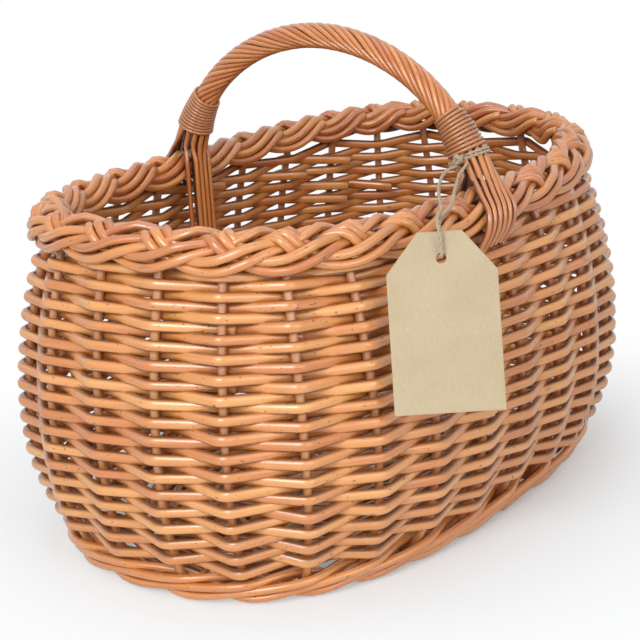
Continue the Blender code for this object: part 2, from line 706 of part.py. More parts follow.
def leg(hoop, side, turn):
    """The marks of a rod below a collar, from the collar down. Side is -1 at the near collar."""
    foot = hoop.collar_foot if side < 0 else hoop.length - hoop.collar_foot
    top = hoop.leg_top if side < 0 else hoop.length - hoop.leg_top
    along = math.sin(turn)
    outward = math.cos(turn)
    x = math.copysign(LEG_SPREAD, along) if abs(along) > LEG_SIDE_SHARE else 0.0
    if outward > LEG_OUTSIDE_SHARE:
        y = BORDER_HALF_WIDTH + OUTER_LEG_REACH
        end_height = BORDER_HEIGHT - OUTER_LEG_DEPTH
    else:
        y = BORDER_HALF_WIDTH - INNER_LEG_CLEAR
        end_height = BORDER_HEIGHT - INNER_LEG_DEPTH
    if outward < LEG_INSIDE_SHARE:
        y -= INNER_LEG_STAGGER
    return [
        hoop.around(foot, COLLAR_FOOT_REACH, turn),
        hoop.around(top, COLLAR_FOOT_REACH, turn),
        np.array([x, side * y, BORDER_HEIGHT + LEG_OVER]),
        np.array([x, side * y, BORDER_HEIGHT - LEG_UNDER]),
        np.array([x, side * y, end_height]),
    ]


def handle(hoop):
    """A core rod and six rods twisted round it, straight inside the collars and down the legs."""
    corners = section(ROPING_RADIUS, ROPING_RADIUS, ROPING_SIDES)
    total_twist = 2 * math.pi * ROPING_TURN_COUNT_SHARE
    for number in range(ROPING_COUNT):
        near_turn = 2 * math.pi * number / ROPING_COUNT
        far_turn = near_turn + total_twist
        points = smooth_route(leg(hoop, -1, near_turn), LEG_STEP_COUNT)[::-1]
        for share in np.linspace(0, 1, COLLAR_STEP_COUNT)[1:]:
            length = hoop.collar_foot + COLLAR_LENGTH * share
            points.append(hoop.around(length, collar_reach(1 - share), near_turn))
        for share in np.linspace(0, 1, ROPING_STEP_COUNT)[1:]:
            length = hoop.collar_top + (hoop.length - 2 * hoop.collar_top) * share
            points.append(hoop.around(length, ROPING_REACH, near_turn + total_twist * share))
        for share in np.linspace(0, 1, COLLAR_STEP_COUNT)[1:-1]:
            length = hoop.length - hoop.collar_top + COLLAR_LENGTH * share
            points.append(hoop.around(length, collar_reach(share), far_turn))
        points += smooth_route(leg(hoop, 1, far_turn), LEG_STEP_COUNT)
        ups = carried_ups(points, ALONG)
        rod(f"handle_roping_{number + 1}", points, ups, corners, WILLOW_HANDLE)
    corners = section(CORE_RADIUS, CORE_RADIUS, CORE_SIDES)
    core_y = BORDER_HALF_WIDTH - INNER_LEG_CLEAR
    core_end = BORDER_HEIGHT - INNER_LEG_DEPTH
    lengths = np.linspace(hoop.collar_foot, hoop.length - hoop.collar_foot, ROPING_STEP_COUNT)
    ends = (BORDER_HEIGHT + LEG_OVER, core_end)
    points = [np.array([0.0, -core_y, height]) for height in ends[::-1]]
    points += [hoop.at(length) for length in lengths]
    points += [np.array([0.0, core_y, height]) for height in ends]
    rod("handle_core", points, carried_ups(points, ALONG), corners, WILLOW_HANDLE)


def collar(hoop, name, side):
    """Split cane wound round the seven rods. The least gap between its loops is measured and printed."""
    count = CANE_LOOPS * CANE_POINTS_PER_LOOP
    flat = math.cos(math.pi / CANE_POINTS_PER_LOOP)
    points = []
    ups = []
    for index in range(count + 1):
        share = index / count
        length = hoop.collar_foot + COLLAR_LENGTH * share
        if side > 0:
            length = hoop.length - length
        turn = 2 * math.pi * index / CANE_POINTS_PER_LOOP
        reach = collar_reach(1 - share) + ROPING_RADIUS + WEAVE_CLEARANCE + CANE_HALF_THICKNESS
        points.append(hoop.around(length, reach / flat, turn))
        ups.append(unit(points[-1] - hoop.at(length)))
    rod(name, points, ups, section(CANE_HALF_WIDTH, CANE_HALF_THICKNESS, 4), CANE)
    path = np.array(points)
    nearest = min(
        np.linalg.norm(path[first] - path[second])
        for first in range(count + 1)
        for second in range(first + CANE_POINTS_PER_LOOP // 2, count + 1)
    )
    print(name, "least gap between loops, mm:", round(1000 * (nearest - 2 * CANE_HALF_WIDTH), 2))


def twine_hitch(hoop):
    """The twine's loop round the foot of the near collar, with a tail past the knot."""
    flat = math.cos(math.pi / HITCH_POINTS)
    reach = (COLLAR_FOOT_REACH + ROPING_RADIUS + HITCH_CLEARANCE + TWINE_RADIUS) / flat
    points = []
    for index in range(HITCH_POINTS + 1):
        turn = HITCH_KNOT_ANGLE + 2 * math.pi * index / HITCH_POINTS
        length = hoop.collar_foot - HITCH_DROP - HITCH_DROP * index / HITCH_POINTS
        points.append(hoop.around(length, reach, turn))
    corners = section(TWINE_RADIUS, TWINE_RADIUS, TWINE_SIDES)
    rod("twine_hitch", points, carried_ups(points, UP), corners, JUTE)


def twine_fall():
    """The doubled twine from the knot over the border, through the tag's hole and back.

    It swings about the line between its two ends.
    """
    marks = list(TWINE_LEFT_ROUTE)
    clear_top = TAG_HOLE_DROP + TWINE_CLIMB
    radius = TWINE_TURN_RADIUS
    seat = (TAG_HOLE_RADIUS - TWINE_RADIUS) / 2
    marks.append(tag_point(-TWINE_RADIUS, clear_top, radius))
    for turn in np.linspace(0, math.pi, TWINE_TURN_STEPS + 1):
        marks.append(tag_point(0, seat + radius * (1 - math.sin(turn)), radius * math.cos(turn)))
    marks.append(tag_point(TWINE_RADIUS, clear_top, -radius))
    marks += TWINE_RIGHT_ROUTE
    route = smooth_route(marks, TWINE_POINT_COUNT)
    data = bpy.data.curves.new("twine_fall", "CURVE")
    data.dimensions = "3D"
    line = data.splines.new("POLY")
    line.points.add(len(route) - 1)
    pivot = (route[0] + route[-1]) / 2
    for knot, place in zip(line.points, route):
        knot.co = (*(place - pivot), 1.0)
    data.bevel_depth = TWINE_RADIUS
    data.bevel_resolution = 2
    data.use_fill_caps = True
    fall = add_object("twine_fall", data, JUTE)
    fall.location = tuple(pivot)


def tag_hole():
    """The middle of the tag's hole, about which the tag turns."""
    return np.array([-TAG_HOLE_LEFT, -TAG_HOLE_FORWARD, TAG_HOLE_HEIGHT])


def tag_point(across, upward, forward):
    """A point measured from the tag's hole along the card's width, its height and out of its face."""
    facing = unit(np.array(TAG_FACING_SHARES))
    level = unit(np.cross(UP, facing))
    return tag_hole() + level * across + np.cross(facing, level) * upward + facing * forward


def hang_tag():
    """A card with a chamfered top and a round hole, facing forward and to the left."""
    top = TAG_HOLE_DROP
    shoulder = TAG_HOLE_DROP - TAG_CHAMFER_DROP
    bottom = TAG_HOLE_DROP - TAG_HEIGHT
    edge = [
        (-TAG_TOP_WIDTH / 2, top),
        (-TAG_WIDTH / 2, shoulder),
        (-TAG_WIDTH / 2, bottom),
        (TAG_WIDTH / 2, bottom),
        (TAG_WIDTH / 2, shoulder),
        (TAG_TOP_WIDTH / 2, top),
    ]
    turns = math.pi / 2 + 2 * math.pi * np.arange(TAG_HOLE_SIDES) / TAG_HOLE_SIDES
    ring = [(TAG_HOLE_RADIUS * math.cos(turn), TAG_HOLE_RADIUS * math.sin(turn)) for turn in turns]
    card = bmesh.new()
    sides = []
    for half in (-TAG_THICKNESS / 2, TAG_THICKNESS / 2):
        rows = []
        for loop in (edge, ring):
            places = [tag_point(x, y, half) - tag_hole() for x, y in loop]
            rows.append([card.verts.new(tuple(place)) for place in places])
        sides.append(rows)
        lines = []
        for row in rows:
            for first, second in zip(row, row[1:] + row[:1]):
                lines.append(card.edges.new((first, second)))
        bmesh.ops.triangle_fill(card, edges=lines, use_beauty=True)
    for back, front in zip(sides[0], sides[1]):
        for index in range(len(back)):
            beside = (index + 1) % len(back)
            card.faces.new((back[index], back[beside], front[beside], front[index]))
    bmesh.ops.recalc_face_normals(card, faces=card.faces)
    data = bpy.data.meshes.new("hang_tag")
    card.to_mesh(data)
    card.free()
    tag = add_object("hang_tag", data, CARD)
    tag.location = tuple(tag_hole())


def build():
    clear_scene()
    tail_edge = mat_edge_outline(MAT_EDGE_INSET - MAT_WEAVER_HALF_WIDTH - CLEARANCE)
    half_stations = stations(2 * STAKE_COUNT)
    stakes = [Stake(station, tail_edge) for station in half_stations[::2]]
    for number, stake in enumerate(stakes):
        stake.build(f"stake_{number + 1:02d}")
    siding(stakes)
    upsett(stakes)
    base_sticks()
    base_weavers()
    border(half_stations)
    hoop = Hoop()
    handle(hoop)
    collar(hoop, "collar_near", -1)
    collar(hoop, "collar_far", 1)
    twine_hitch(hoop)
    twine_fall()
    hang_tag()


build()
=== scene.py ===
import math

import bmesh
import bpy
import numpy as np
from mathutils import Matrix, Vector


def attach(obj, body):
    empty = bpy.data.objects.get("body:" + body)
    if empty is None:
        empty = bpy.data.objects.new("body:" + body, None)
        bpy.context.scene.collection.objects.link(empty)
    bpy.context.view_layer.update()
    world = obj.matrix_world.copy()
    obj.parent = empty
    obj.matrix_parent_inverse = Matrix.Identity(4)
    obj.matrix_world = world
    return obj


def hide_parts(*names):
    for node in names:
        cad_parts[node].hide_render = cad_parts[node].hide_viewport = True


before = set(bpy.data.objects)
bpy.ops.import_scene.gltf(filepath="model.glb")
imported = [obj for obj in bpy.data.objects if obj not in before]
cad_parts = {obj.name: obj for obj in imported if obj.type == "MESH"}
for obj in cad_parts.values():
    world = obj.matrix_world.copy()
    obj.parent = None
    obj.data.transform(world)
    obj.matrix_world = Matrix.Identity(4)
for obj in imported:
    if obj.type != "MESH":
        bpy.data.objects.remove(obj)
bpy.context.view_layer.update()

# The wall's middle line seen from above: half length, half width, squareness
FOOT_OUTLINE = np.array([0.1875, 0.1169, 2.45])
BELLY_OUTLINE = np.array([0.2032, 0.1418, 2.95])
SHOULDER_OUTLINE = np.array([0.1892, 0.1288, 2.64])
BORDER_OUTLINE = np.array([0.1867, 0.1240, 2.69])
BELLY_HEIGHT = 0.0814
SHOULDER_HEIGHT = 0.1812
BORDER_HEIGHT = 0.1945
RIM_END_RISE = 0.0077

# The uprights
STAKE_COUNT = 27
STAKE_RADIUS = 0.0026
STAKE_BEND_REACH = 0.0070
FOOT_LEVEL = 0.0069
WALL_LEVEL = 0.0165
STAKE_TOP_DROP = 0.0012
STAKE_SPREAD = (0.94, 1.04)

# The siding
ROW_COUNT = 33
FIRST_ROW_HEIGHT = 0.0212
LAST_ROW_HEIGHT = 0.1862
ROW_RADIUS = 0.00256
ROW_TALL = 1.30
ROW_WANDER = 0.00022
KINK_REACH = 0.0042
KINK_SQUEEZE = 0.0007
BUTT_TUCK = 1.9
BUTT_REACH = 0.009
BUTT_TURN = 0.2
BUTT_SPREAD = (1.02, 1.10)
TIP_REACH = 0.006
TIP_TURN = 0.25
TIP_SPREAD = (0.86, 0.97)
ROD_WOBBLE = 0.016
FEWEST_STAKE_PAIRS = 4
MOST_STAKE_PAIRS = 7
LAST_ROD_STAKES = 6

# The upsett
UPSETT_ROD_COUNT = 4
UPSETT_RADIUS = 0.0025
UPSETT_HEIGHT = 0.0118
UPSETT_RISE = 0.0058
UPSETT_CLEAR = 0.0002

# The base
BASE_STICK_RADIUS = 0.0026
BASE_STICK_RISE = 0.0028
LONG_STICK_COUNT = 3
LONG_STICK_PITCH = 0.0062
LONG_STICK_FAN = 0.0500
CROSS_STICK_COUNT = 5
CROSS_STICK_PITCH = 0.0400
MAT_CORE_HALF_LENGTH = 0.0850
MAT_CORE_HALF_WIDTH = 0.0100
MAT_FLAT_HALF_LENGTH = 0.1020
MAT_FLAT_HALF_WIDTH = 0.0270
MAT_EDGE_INSET = 0.0190
STAKE_TAIL_LAP = 0.0020
WEAVER_COUNT = 2
WEAVER_RADIUS = 0.0020
WEAVER_PITCH = 0.0045
WEAVER_TURNS = 9
EDGE_ROW_COUNT = 3
EDGE_ROW_PITCH = 0.0048
EDGE_ROW_START = 0.0058
SPOKE_SEARCH = (-0.03, 0.3)

# The handle
HANDLE_HALF_SPAN = 0.1149
HANDLE_SPRING_HEIGHT = 0.1959
HANDLE_ROUND = 1.02
CROWN_HEIGHT = 0.2919
ROPING_TURNS = 2.5
COLLAR_TOP_HEIGHT = 0.2485
COLLAR_FOOT_HEIGHT = 0.2270
LEG_TOP_HEIGHT = 0.2150
OUTER_LEG_REACH = 0.0154
INNER_LEG_CLEAR = 0.0153
INNER_LEG_STAGGER = 0.0040
INNER_LEG_OVER = 0.0120
INNER_LEG_UNDER = 0.0060
INNER_LEG_FOOT_HEIGHT = 0.1300

# The twine and the tag
TWINE_RADIUS = 0.0010
TAG_WIDTH = 0.0594
TAG_HEIGHT = 0.0965
TAG_THICKNESS = 0.0009
TAG_TOP_WIDTH = 0.0239
TAG_CHAMFER_DROP = 0.0217
TAG_HOLE_DROP = 0.0143
TAG_HOLE_RADIUS = 0.0028
TAG_HOLE = np.array([-0.0985, -0.1540, 0.1935])
TAG_FACING = (-0.73939, -0.60112, 0.30323)
TWINE_LEFT_ROUTE = (
    (-0.0150, -0.1109, 0.2224),
    (-0.0235, -0.1090, 0.2212),
    (-0.0354, -0.1126, 0.2185),
    (-0.0505, -0.1212, 0.2155),
    (-0.0660, -0.1333, 0.2110),
)
TWINE_RIGHT_ROUTE = (
    (-0.0611, -0.1360, 0.2115),
    (-0.0414, -0.1265, 0.2165),
    (-0.0271, -0.1200, 0.2205),
    (-0.0190, -0.1182, 0.2232),
    (-0.0133, -0.1168, 0.2245),
)
TWINE_TURN_RADIUS = 0.0041
KNOT_PLACE = (-0.0148, -0.1112, 0.2264)
FRAY_LEAN = np.array([0.95, -0.55, -0.35])
TWINE_CLIMB = 0.0060

UP = np.array([0.0, 0.0, 1.0])
ALONG = np.array([1.0, 0.0, 0.0])


def unit(vectors):
    """Vectors brought to length one, along the last axis."""
    vectors = np.asarray(vectors, float)
    return vectors / np.linalg.norm(vectors, axis=-1, keepdims=True)


def lengths_along(path):
    """The distance from the path's start to each of its points."""
    steps = np.linalg.norm(np.diff(path, axis=0), axis=1)
    return np.concatenate([[0.0], np.cumsum(steps)])


def smooth_route(marks, count):
    """Points evenly spaced along a smooth curve through the marks."""
    marks = np.array(marks, float)
    lengths = lengths_along(marks)
    slopes = np.empty_like(marks)
    slopes[1:-1] = (marks[2:] - marks[:-2]) / (lengths[2:] - lengths[:-2])[:, None]
    slopes[0] = (marks[1] - marks[0]) / (lengths[1] - lengths[0])
    slopes[-1] = (marks[-1] - marks[-2]) / (lengths[-1] - lengths[-2])
    places = np.linspace(0, lengths[-1], count)
    piece = np.clip(np.searchsorted(lengths, places, side="right") - 1, 0, len(marks) - 2)
    span = (lengths[piece + 1] - lengths[piece])[:, None]
    t = (places - lengths[piece])[:, None] / span
    start = marks[piece] * (2 * t**3 - 3 * t**2 + 1) + slopes[piece] * span * (t**3 - 2 * t**2 + t)
    end = marks[piece + 1] * (3 * t**2 - 2 * t**3) + slopes[piece + 1] * span * (t**3 - t**2)
    return start + end


# The camera

CAMERA_PLACE = (-0.76944919, -0.61426506, 0.42142931)
CAMERA_RIGHT = (0.61492824, -0.78634192, -0.05941081)
CAMERA_UP = (0.27415948, 0.14253983, 0.95106203)
CAMERA_BACK = (-0.73939153, -0.60112294, 0.30323485)
CAMERA_NEAREST = 0.01
SENSOR_WIDTH = 36.0
FOCAL_LENGTH = 89.28


def make_camera():
    data = bpy.data.cameras.new("camera")
    data.sensor_width = SENSOR_WIDTH
    data.lens = FOCAL_LENGTH
    data.clip_start = CAMERA_NEAREST
    camera = bpy.data.objects.new("camera", data)
    bpy.context.scene.collection.objects.link(camera)
    turn = Matrix((CAMERA_RIGHT, CAMERA_UP, CAMERA_BACK)).transposed().to_4x4()
    camera.matrix_world = Matrix.Translation(CAMERA_PLACE) @ turn
    bpy.context.scene.camera = camera


# Rods gathered into one mesh

CUT_END_REACH = 0.14
CUT_END_SHARE = 0.86
SHARP_ANGLE = math.radians(50)


def with_ends(path, radius, ahead, across, up):
    """The path with a smaller ring past each end, which softens the edge of the cut."""
    first = path[0] - ahead[0] * (CUT_END_REACH * radius[0])
    last = path[-1] + ahead[-1] * (CUT_END_REACH * radius[-1])
    path = np.vstack([first, path, last])
    radius = np.concatenate([[CUT_END_SHARE * radius[0]], radius, [CUT_END_SHARE * radius[-1]]])
    across = np.pad(across, ((1, 1), (0, 0)), mode="edge")
    up = np.pad(up, ((1, 1), (0, 0)), mode="edge")
    return path, radius, across, up


class Rods:
    """Rods of one piece. Each point keeps its place along and round its rod, and the rod's tone."""

    def __init__(self, seed):
        self.random = np.random.default_rng(seed)
        self.points = []
        self.faces = []
        self.grain = []
        self.tones = []
        self.total = 0

    def add(self, path, radius, up, sides=12, flat=1.0, tone=None):
        """A rod along the path. Up is the way that flat stretches it."""
        path = np.array(path, float)
        radius = np.broadcast_to(np.asarray(radius, float), len(path))
        up = np.broadcast_to(np.asarray(up, float), path.shape)
        ahead = unit(np.gradient(path, axis=0))
        across = unit(np.cross(ahead, up))
        up = np.cross(across, ahead)
        path, radius, across, up = with_ends(path, radius, ahead, across, up)
        count = len(path)
        turns = 2 * math.pi * (np.arange(sides) + 0.5) / sides
        wheel = across[:, None] * np.cos(turns)[None, :, None]
        wheel = wheel + up[:, None] * (np.sin(turns) * flat)[None, :, None]
        rings = path[:, None] + wheel * radius[:, None, None]
        along = lengths_along(path) + self.random.uniform(0, 5)
        grain = np.empty((count, sides, 3))
        grain[:, :, 0] = along[:, None]
        grain[:, :, 1] = np.cos(turns)
        grain[:, :, 2] = np.sin(turns)
        tone = self.random.uniform(0, 1) if tone is None else tone
        self.points.append(rings.reshape(-1, 3))
        self.grain.append(grain.reshape(-1, 3))
        self.tones.append(np.full(count * sides, tone))
        self.add_faces(count, sides)

    def add_faces(self, count, sides):
        """Quads between the rings of the rod just added, and a face on each end."""
        rows = np.arange(count - 1)[:, None] * sides
        nexts = rows + sides
        corner = np.arange(sides)[None, :]
        beside = (corner + 1) % sides
        quads = np.stack([rows + corner, nexts + corner, nexts + beside, rows + beside], axis=-1)
        self.faces += (quads.reshape(-1, 4) + self.total).tolist()
        first = self.total + np.arange(sides)
        self.faces.append(first.tolist())
        self.faces.append((first + (count - 1) * sides)[::-1].tolist())
        self.total += count * sides

    def build(self, name, finish, body, nodes):
        data = bpy.data.meshes.new(name)
        data.from_pydata(np.vstack(self.points).tolist(), [], self.faces)
        grain = data.attributes.new("grain", "FLOAT_VECTOR", "POINT")
        grain.data.foreach_set("vector", np.vstack(self.grain).ravel().astype(np.float32))
        tone = data.attributes.new("tone", "FLOAT", "POINT")
        tone.data.foreach_set("value", np.concatenate(self.tones).astype(np.float32))
        data.shade_smooth()
        data.set_sharp_from_angle(angle=SHARP_ANGLE)
        return place_piece(name, data, finish, body, nodes)


def place_piece(name, data, finish, body, nodes, place=(0.0, 0.0, 0.0)):
    """A finished piece that stands for the named parts of the frame."""
    data.materials.append(finish)
    piece = bpy.data.objects.new(name, data)
    bpy.context.scene.collection.objects.link(piece)
    piece.location = place
    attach(piece, body)
    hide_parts(*nodes)
    return piece


def parts(start):
    """The frame's parts whose names begin with the start, in order."""
    return sorted(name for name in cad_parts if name.startswith(start))


# Finishes

WHITE = (1.0, 1.0, 1.0, 1.0)


class Value:
    """A node's output. Python's arithmetic on a number adds Math nodes."""

    def __init__(self, nodes, socket):
        self.nodes = nodes
        self.socket = socket

    def __add__(self, other):
        return self.nodes.math("ADD", self, other)

    def __radd__(self, other):
        return self.nodes.math("ADD", other, self)

    def __sub__(self, other):
        return self.nodes.math("SUBTRACT", self, other)

    def __rsub__(self, other):
        return self.nodes.math("SUBTRACT", other, self)

    def __mul__(self, other):
        return self.nodes.math("MULTIPLY", self, other)

    def __rmul__(self, other):
        return self.nodes.math("MULTIPLY", other, self)


class Nodes:
    """The nodes of a material or of the world."""

    def __init__(self, owner):
        owner.use_nodes = True
        self.tree = owner.node_tree

    def node(self, kind, settings, inputs, output=0):
        """The chosen output of a new node, with its settings made before its sockets are filled."""
        made = self.tree.nodes.new(kind)
        for setting, value in settings.items():
            setattr(made, setting, value)
        for socket, value in inputs.items():
            self.feed(made.inputs[socket], value)
        return Value(self, made.outputs[output])

    def feed(self, socket, value):
        if isinstance(value, Value):
            self.tree.links.new(value.socket, socket)
        else:
            socket.default_value = value

    def math(self, operation, first, second):
        return self.node("ShaderNodeMath", {"operation": operation}, {0: first, 1: second})


class Finish(Nodes):
    """The nodes of one material."""

    def __init__(self, name, roughness, specular=0.5, coat=0.0, coat_roughness=0.2, sheen=0.0):
        self.material = bpy.data.materials.new(name)
        super().__init__(self.material)
        self.surface = self.tree.nodes["Principled BSDF"]
        constants = {
            "Roughness": roughness,
            "Specular IOR Level": specular,
            "Coat Weight": coat,
            "Coat Roughness": coat_roughness,
            "Sheen Weight": sheen,
        }
        for socket, value in constants.items():
            self.set(socket, value)

    def set(self, socket, value):
        self.feed(self.surface.inputs[socket], value)

    def attribute(self, name, output):
        return self.node("ShaderNodeAttribute", {"attribute_name": name}, {}, output)

    def facing(self, grain):
        """How far the skin faces the rod's up, from -1 to 1."""
        return self.node("ShaderNodeSeparateXYZ", {}, {0: grain}, 2)

    def stretched(self, vector, scale, shift=None):
        """The vector times a scale for each axis, moved by a value along all three."""
        grown = self.node("ShaderNodeVectorMath", {"operation": "MULTIPLY"}, {0: vector, 1: scale})
        if shift is None:
            return grown
        return self.node("ShaderNodeVectorMath", {"operation": "ADD"}, {0: grown, 1: shift})

    def noise(self, vector, scale=1.0, detail=2.0, roughness=0.5):
        inputs = {"Vector": vector, "Scale": scale, "Detail": detail, "Roughness": roughness}
        return self.node("ShaderNodeTexNoise", {}, inputs)

    def step(self, value, low, high, start=0.0, end=1.0):
        """A smooth rise from start to end as the value goes from low to high."""
        inputs = {0: value, 1: low, 2: high, 3: start, 4: end}
        return self.node("ShaderNodeMapRange", {"interpolation_type": "SMOOTHSTEP"}, inputs)

    def blend(self, share, first, second):
        """The first colour, with that share of the second."""
        return self.node("ShaderNodeMix", {"data_type": "RGBA"}, {0: share, 6: first, 7: second}, 2)

    def bump(self, height, distance, strength=1.0):
        inputs = {"Height": height, "Distance": distance, "Strength": strength}
        return self.node("ShaderNodeBump", {}, inputs)


BARK_STREAK = (0.36, 0.105, 0.026, 1.0)
PALE_STREAK = (0.90, 0.50, 0.24, 1.0)
SCAR_BROWN = (0.28, 0.085, 0.026, 1.0)
SPECK_BROWN = (0.085, 0.028, 0.012, 1.0)
HOLLOW_SHADE = (0.075, 0.020, 0.006, 1.0)
SEAM_SHADE = (0.130, 0.036, 0.009, 1.0)


def willow(name, pale, deep, roughness=0.42, coat=1.0, painted_hollow_shade=0.0, painted_seam_shade=0.0):
    """Steamed willow: a buff-orange skin with fine long grain, mottling and small dark specks.

    Painted shade: the hollow share darkens the side of a rod that faces the middle of its bundle,
    and the seam share darkens its upper and lower sides, which lie against the rods above and below.
    """
    finish = Finish(name, roughness, specular=0.80, coat=coat, coat_roughness=0.26)
    grain = finish.attribute("grain", "Vector")
    tone = finish.attribute("tone", "Fac")
    shift = tone * 37.0
    mottle = finish.noise(finish.stretched(grain, (34.0, 0.9, 0.9), shift), detail=3.0)
    streak = finish.noise(finish.stretched(grain, (14.0, 3.6, 3.6), shift), detail=3.0, roughness=0.6)
    fibre = finish.noise(finish.stretched(grain, (90.0, 9.0, 9.0), shift), detail=2.0)
    spot = finish.noise(finish.stretched(grain, (320.0, 1.7, 1.7), shift), detail=1.0)
    speck = finish.step(spot, 0.70, 0.76)
    scar = finish.noise(finish.stretched(grain, (75.0, 0.8, 0.8), shift), detail=2.0)
    patch = finish.step(scar, 0.66, 0.78)
    share = finish.step(tone * 0.55 + mottle * 0.75, 0.25, 1.05)
    colour = finish.blend(share, pale, deep)
    colour = finish.blend(finish.step(streak, 0.52, 0.78, 0.0, 0.30), colour, BARK_STREAK)
    colour = finish.blend(finish.step(streak, 0.50, 0.26, 0.0, 0.26), colour, PALE_STREAK)
    colour = finish.blend(patch * 0.40, colour, SCAR_BROWN)
    # Painted shade on the side of each rod that faces the middle of its bundle.
    if painted_hollow_shade > 0:
        facing = finish.facing(grain)
        colour = finish.blend(finish.step(facing, 0.45, -0.35, 0.0, painted_hollow_shade), colour, HOLLOW_SHADE)
    # Painted shade on the upper and lower sides of each rod, where it lies against its neighbours.
    if painted_seam_shade > 0:
        facing = finish.facing(grain)
        colour = finish.blend(finish.step(facing * facing, 0.25, 0.95, 0.0, painted_seam_shade), colour, SEAM_SHADE)
    colour = finish.blend(speck * 0.70, colour, SPECK_BROWN)
    finish.set("Base Color", colour)
    finish.set("Roughness", roughness - 0.07 + mottle * 0.12 + speck * 0.2)
    height = fibre * 0.35 + streak * 0.65 + mottle * 0.8 - speck * 0.7
    finish.set("Normal", finish.bump(height, 0.00016, 0.8))
    return finish.material


JUTE_DEEP = (0.31, 0.22, 0.130, 1.0)
JUTE_PALE = (0.72, 0.58, 0.41, 1.0)
JUTE_SLUB = (0.54, 0.42, 0.28, 1.0)


def jute():
    """Twisted jute: dull straw fibres that run along each ply."""
    finish = Finish("jute_twine", 0.92, specular=0.2, sheen=0.3)
    grain = finish.attribute("grain", "Vector")
    fibre = finish.noise(finish.stretched(grain, (230.0, 3.2, 3.2)), detail=3.0, roughness=0.65)
    slub = finish.noise(finish.stretched(grain, (40.0, 0.6, 0.6)), detail=1.0)
    colour = finish.blend(finish.step(fibre, 0.32, 0.68), JUTE_DEEP, JUTE_PALE)
    colour = finish.blend(slub * 0.4, colour, JUTE_SLUB)
    finish.set("Base Color", colour)
    finish.set("Normal", finish.bump(fibre, 0.0003, 1.0))
    return finish.material


KRAFT_DEEP = (0.505, 0.398, 0.258, 1.0)
KRAFT_PALE = (0.540, 0.430, 0.282, 1.0)
KRAFT_FIBRE = (0.37, 0.28, 0.17, 1.0)
KRAFT_FLECK = (0.70, 0.60, 0.44, 1.0)


def kraft():
    """Uncoated brown card: fine fibres and a slight cloudiness."""
    finish = Finish("kraft_card", 0.85, specular=0.25)
    place = finish.node("ShaderNodeTexCoord", {}, {}, "Object")
    cloud = finish.noise(place, 45.0, 4.0, 0.6)
    fibre = finish.noise(finish.stretched(place, (700.0, 700.0, 260.0)), detail=3.0, roughness=0.7)
    fleck = finish.step(finish.noise(finish.stretched(place, (900.0, 900.0, 500.0)), detail=1.0), 0.66, 0.74)
    colour = finish.blend(finish.step(cloud, 0.30, 0.70), KRAFT_DEEP, KRAFT_PALE)
    colour = finish.blend(finish.step(fibre, 0.40, 0.70, 0.0, 0.20), colour, KRAFT_FIBRE)
    colour = finish.blend(fleck * 0.22, colour, KRAFT_FLECK)
    finish.set("Base Color", colour)
    finish.set("Normal", finish.bump(fibre, 0.00008, 0.6))
    return finish.material


# The wall's places

HALVINGS = 34
OUTLINE_MARKS = 7200
HALF_RISE = 0.004


def wall_outline(height):
    if height < BELLY_HEIGHT:
        share = ((BELLY_HEIGHT - height) / BELLY_HEIGHT) ** 2
        return BELLY_OUTLINE + (FOOT_OUTLINE - BELLY_OUTLINE) * share
    share = ((height - BELLY_HEIGHT) / (SHOULDER_HEIGHT - BELLY_HEIGHT)) ** 2
    return BELLY_OUTLINE + (SHOULDER_OUTLINE - BELLY_OUTLINE) * share


def foot_outline(inset):
    return wall_outline(FOOT_LEVEL) - np.array([inset, inset, 0.0])


def reach_to(outline, start, heading, low, high):
    """How far along the heading from the start the rounded oval is met."""
    half_length, half_width, squareness = outline
    for _ in range(HALVINGS):
        middle = (low + high) / 2
        x, y = start + heading * middle
        inside = abs(x / half_length) ** squareness + abs(y / half_width) ** squareness < 1
        low, high = (middle, high) if inside else (low, middle)
    return (low + high) / 2


class Station:
    """An upright line on the wall, with its places at each height."""

    HEIGHTS = np.linspace(0.0, 0.19, 39)

    def __init__(self, foot):
        half_length, half_width, squareness = BELLY_OUTLINE
        slope_x = abs(foot[0] / half_length) ** (squareness - 1) / half_length
        slope_y = abs(foot[1] / half_width) ** (squareness - 1) / half_width
        self.foot = foot
        self.heading = unit([math.copysign(slope_x, foot[0]), math.copysign(slope_y, foot[1])])
        self.outward = np.array([*self.heading, 0.0])
        span = half_width / 2
        rim = foot + self.heading * reach_to(BORDER_OUTLINE, foot, self.heading, -span, span)
        self.rise = RIM_END_RISE * (rim[0] / BORDER_OUTLINE[0]) ** 2
        self.border = np.array([*rim, BORDER_HEIGHT + self.rise])
        outlines = [wall_outline(height) for height in self.HEIGHTS]
        self.reaches = [reach_to(outline, foot, self.heading, -span, span) for outline in outlines]

    def mark(self, height):
        reach = np.interp(height, self.HEIGHTS, self.reaches)
        lifted = height + self.rise * (height / BORDER_HEIGHT) ** 2
        return np.array([*(self.foot + self.heading * reach), lifted])

    def frame(self, height):
        """The wall's place, its direction upward and its direction out of the wall."""
        along = unit(self.mark(height + HALF_RISE) - self.mark(height - HALF_RISE))
        return self.mark(height), along, unit(self.outward - along * (self.outward @ along))

    def flat(self, inset, height):
        """A place inside the foot's outline at that inset."""
        outline = foot_outline(inset)
        reach = reach_to(outline, self.foot, self.heading, -outline[1], outline[1])
        return np.array([*(self.foot + self.heading * reach), height])


def stations(count):
    """Places spaced evenly round the belly's outline, the first at the middle of the near side."""
    turns = np.linspace(-math.pi / 2, 3 * math.pi / 2, OUTLINE_MARKS)
    half_length, half_width, squareness = BELLY_OUTLINE
    power = 2 / squareness
    x = half_length * np.sign(np.cos(turns)) * np.abs(np.cos(turns)) ** power
    y = half_width * np.sign(np.sin(turns)) * np.abs(np.sin(turns)) ** power
    lengths = np.concatenate([[0.0], np.cumsum(np.hypot(np.diff(x), np.diff(y)))])
    wanted = lengths[-1] * np.arange(count) / count
    feet = np.column_stack([np.interp(wanted, lengths, x), np.interp(wanted, lengths, y)])
    return [Station(foot) for foot in feet]


# The uprights

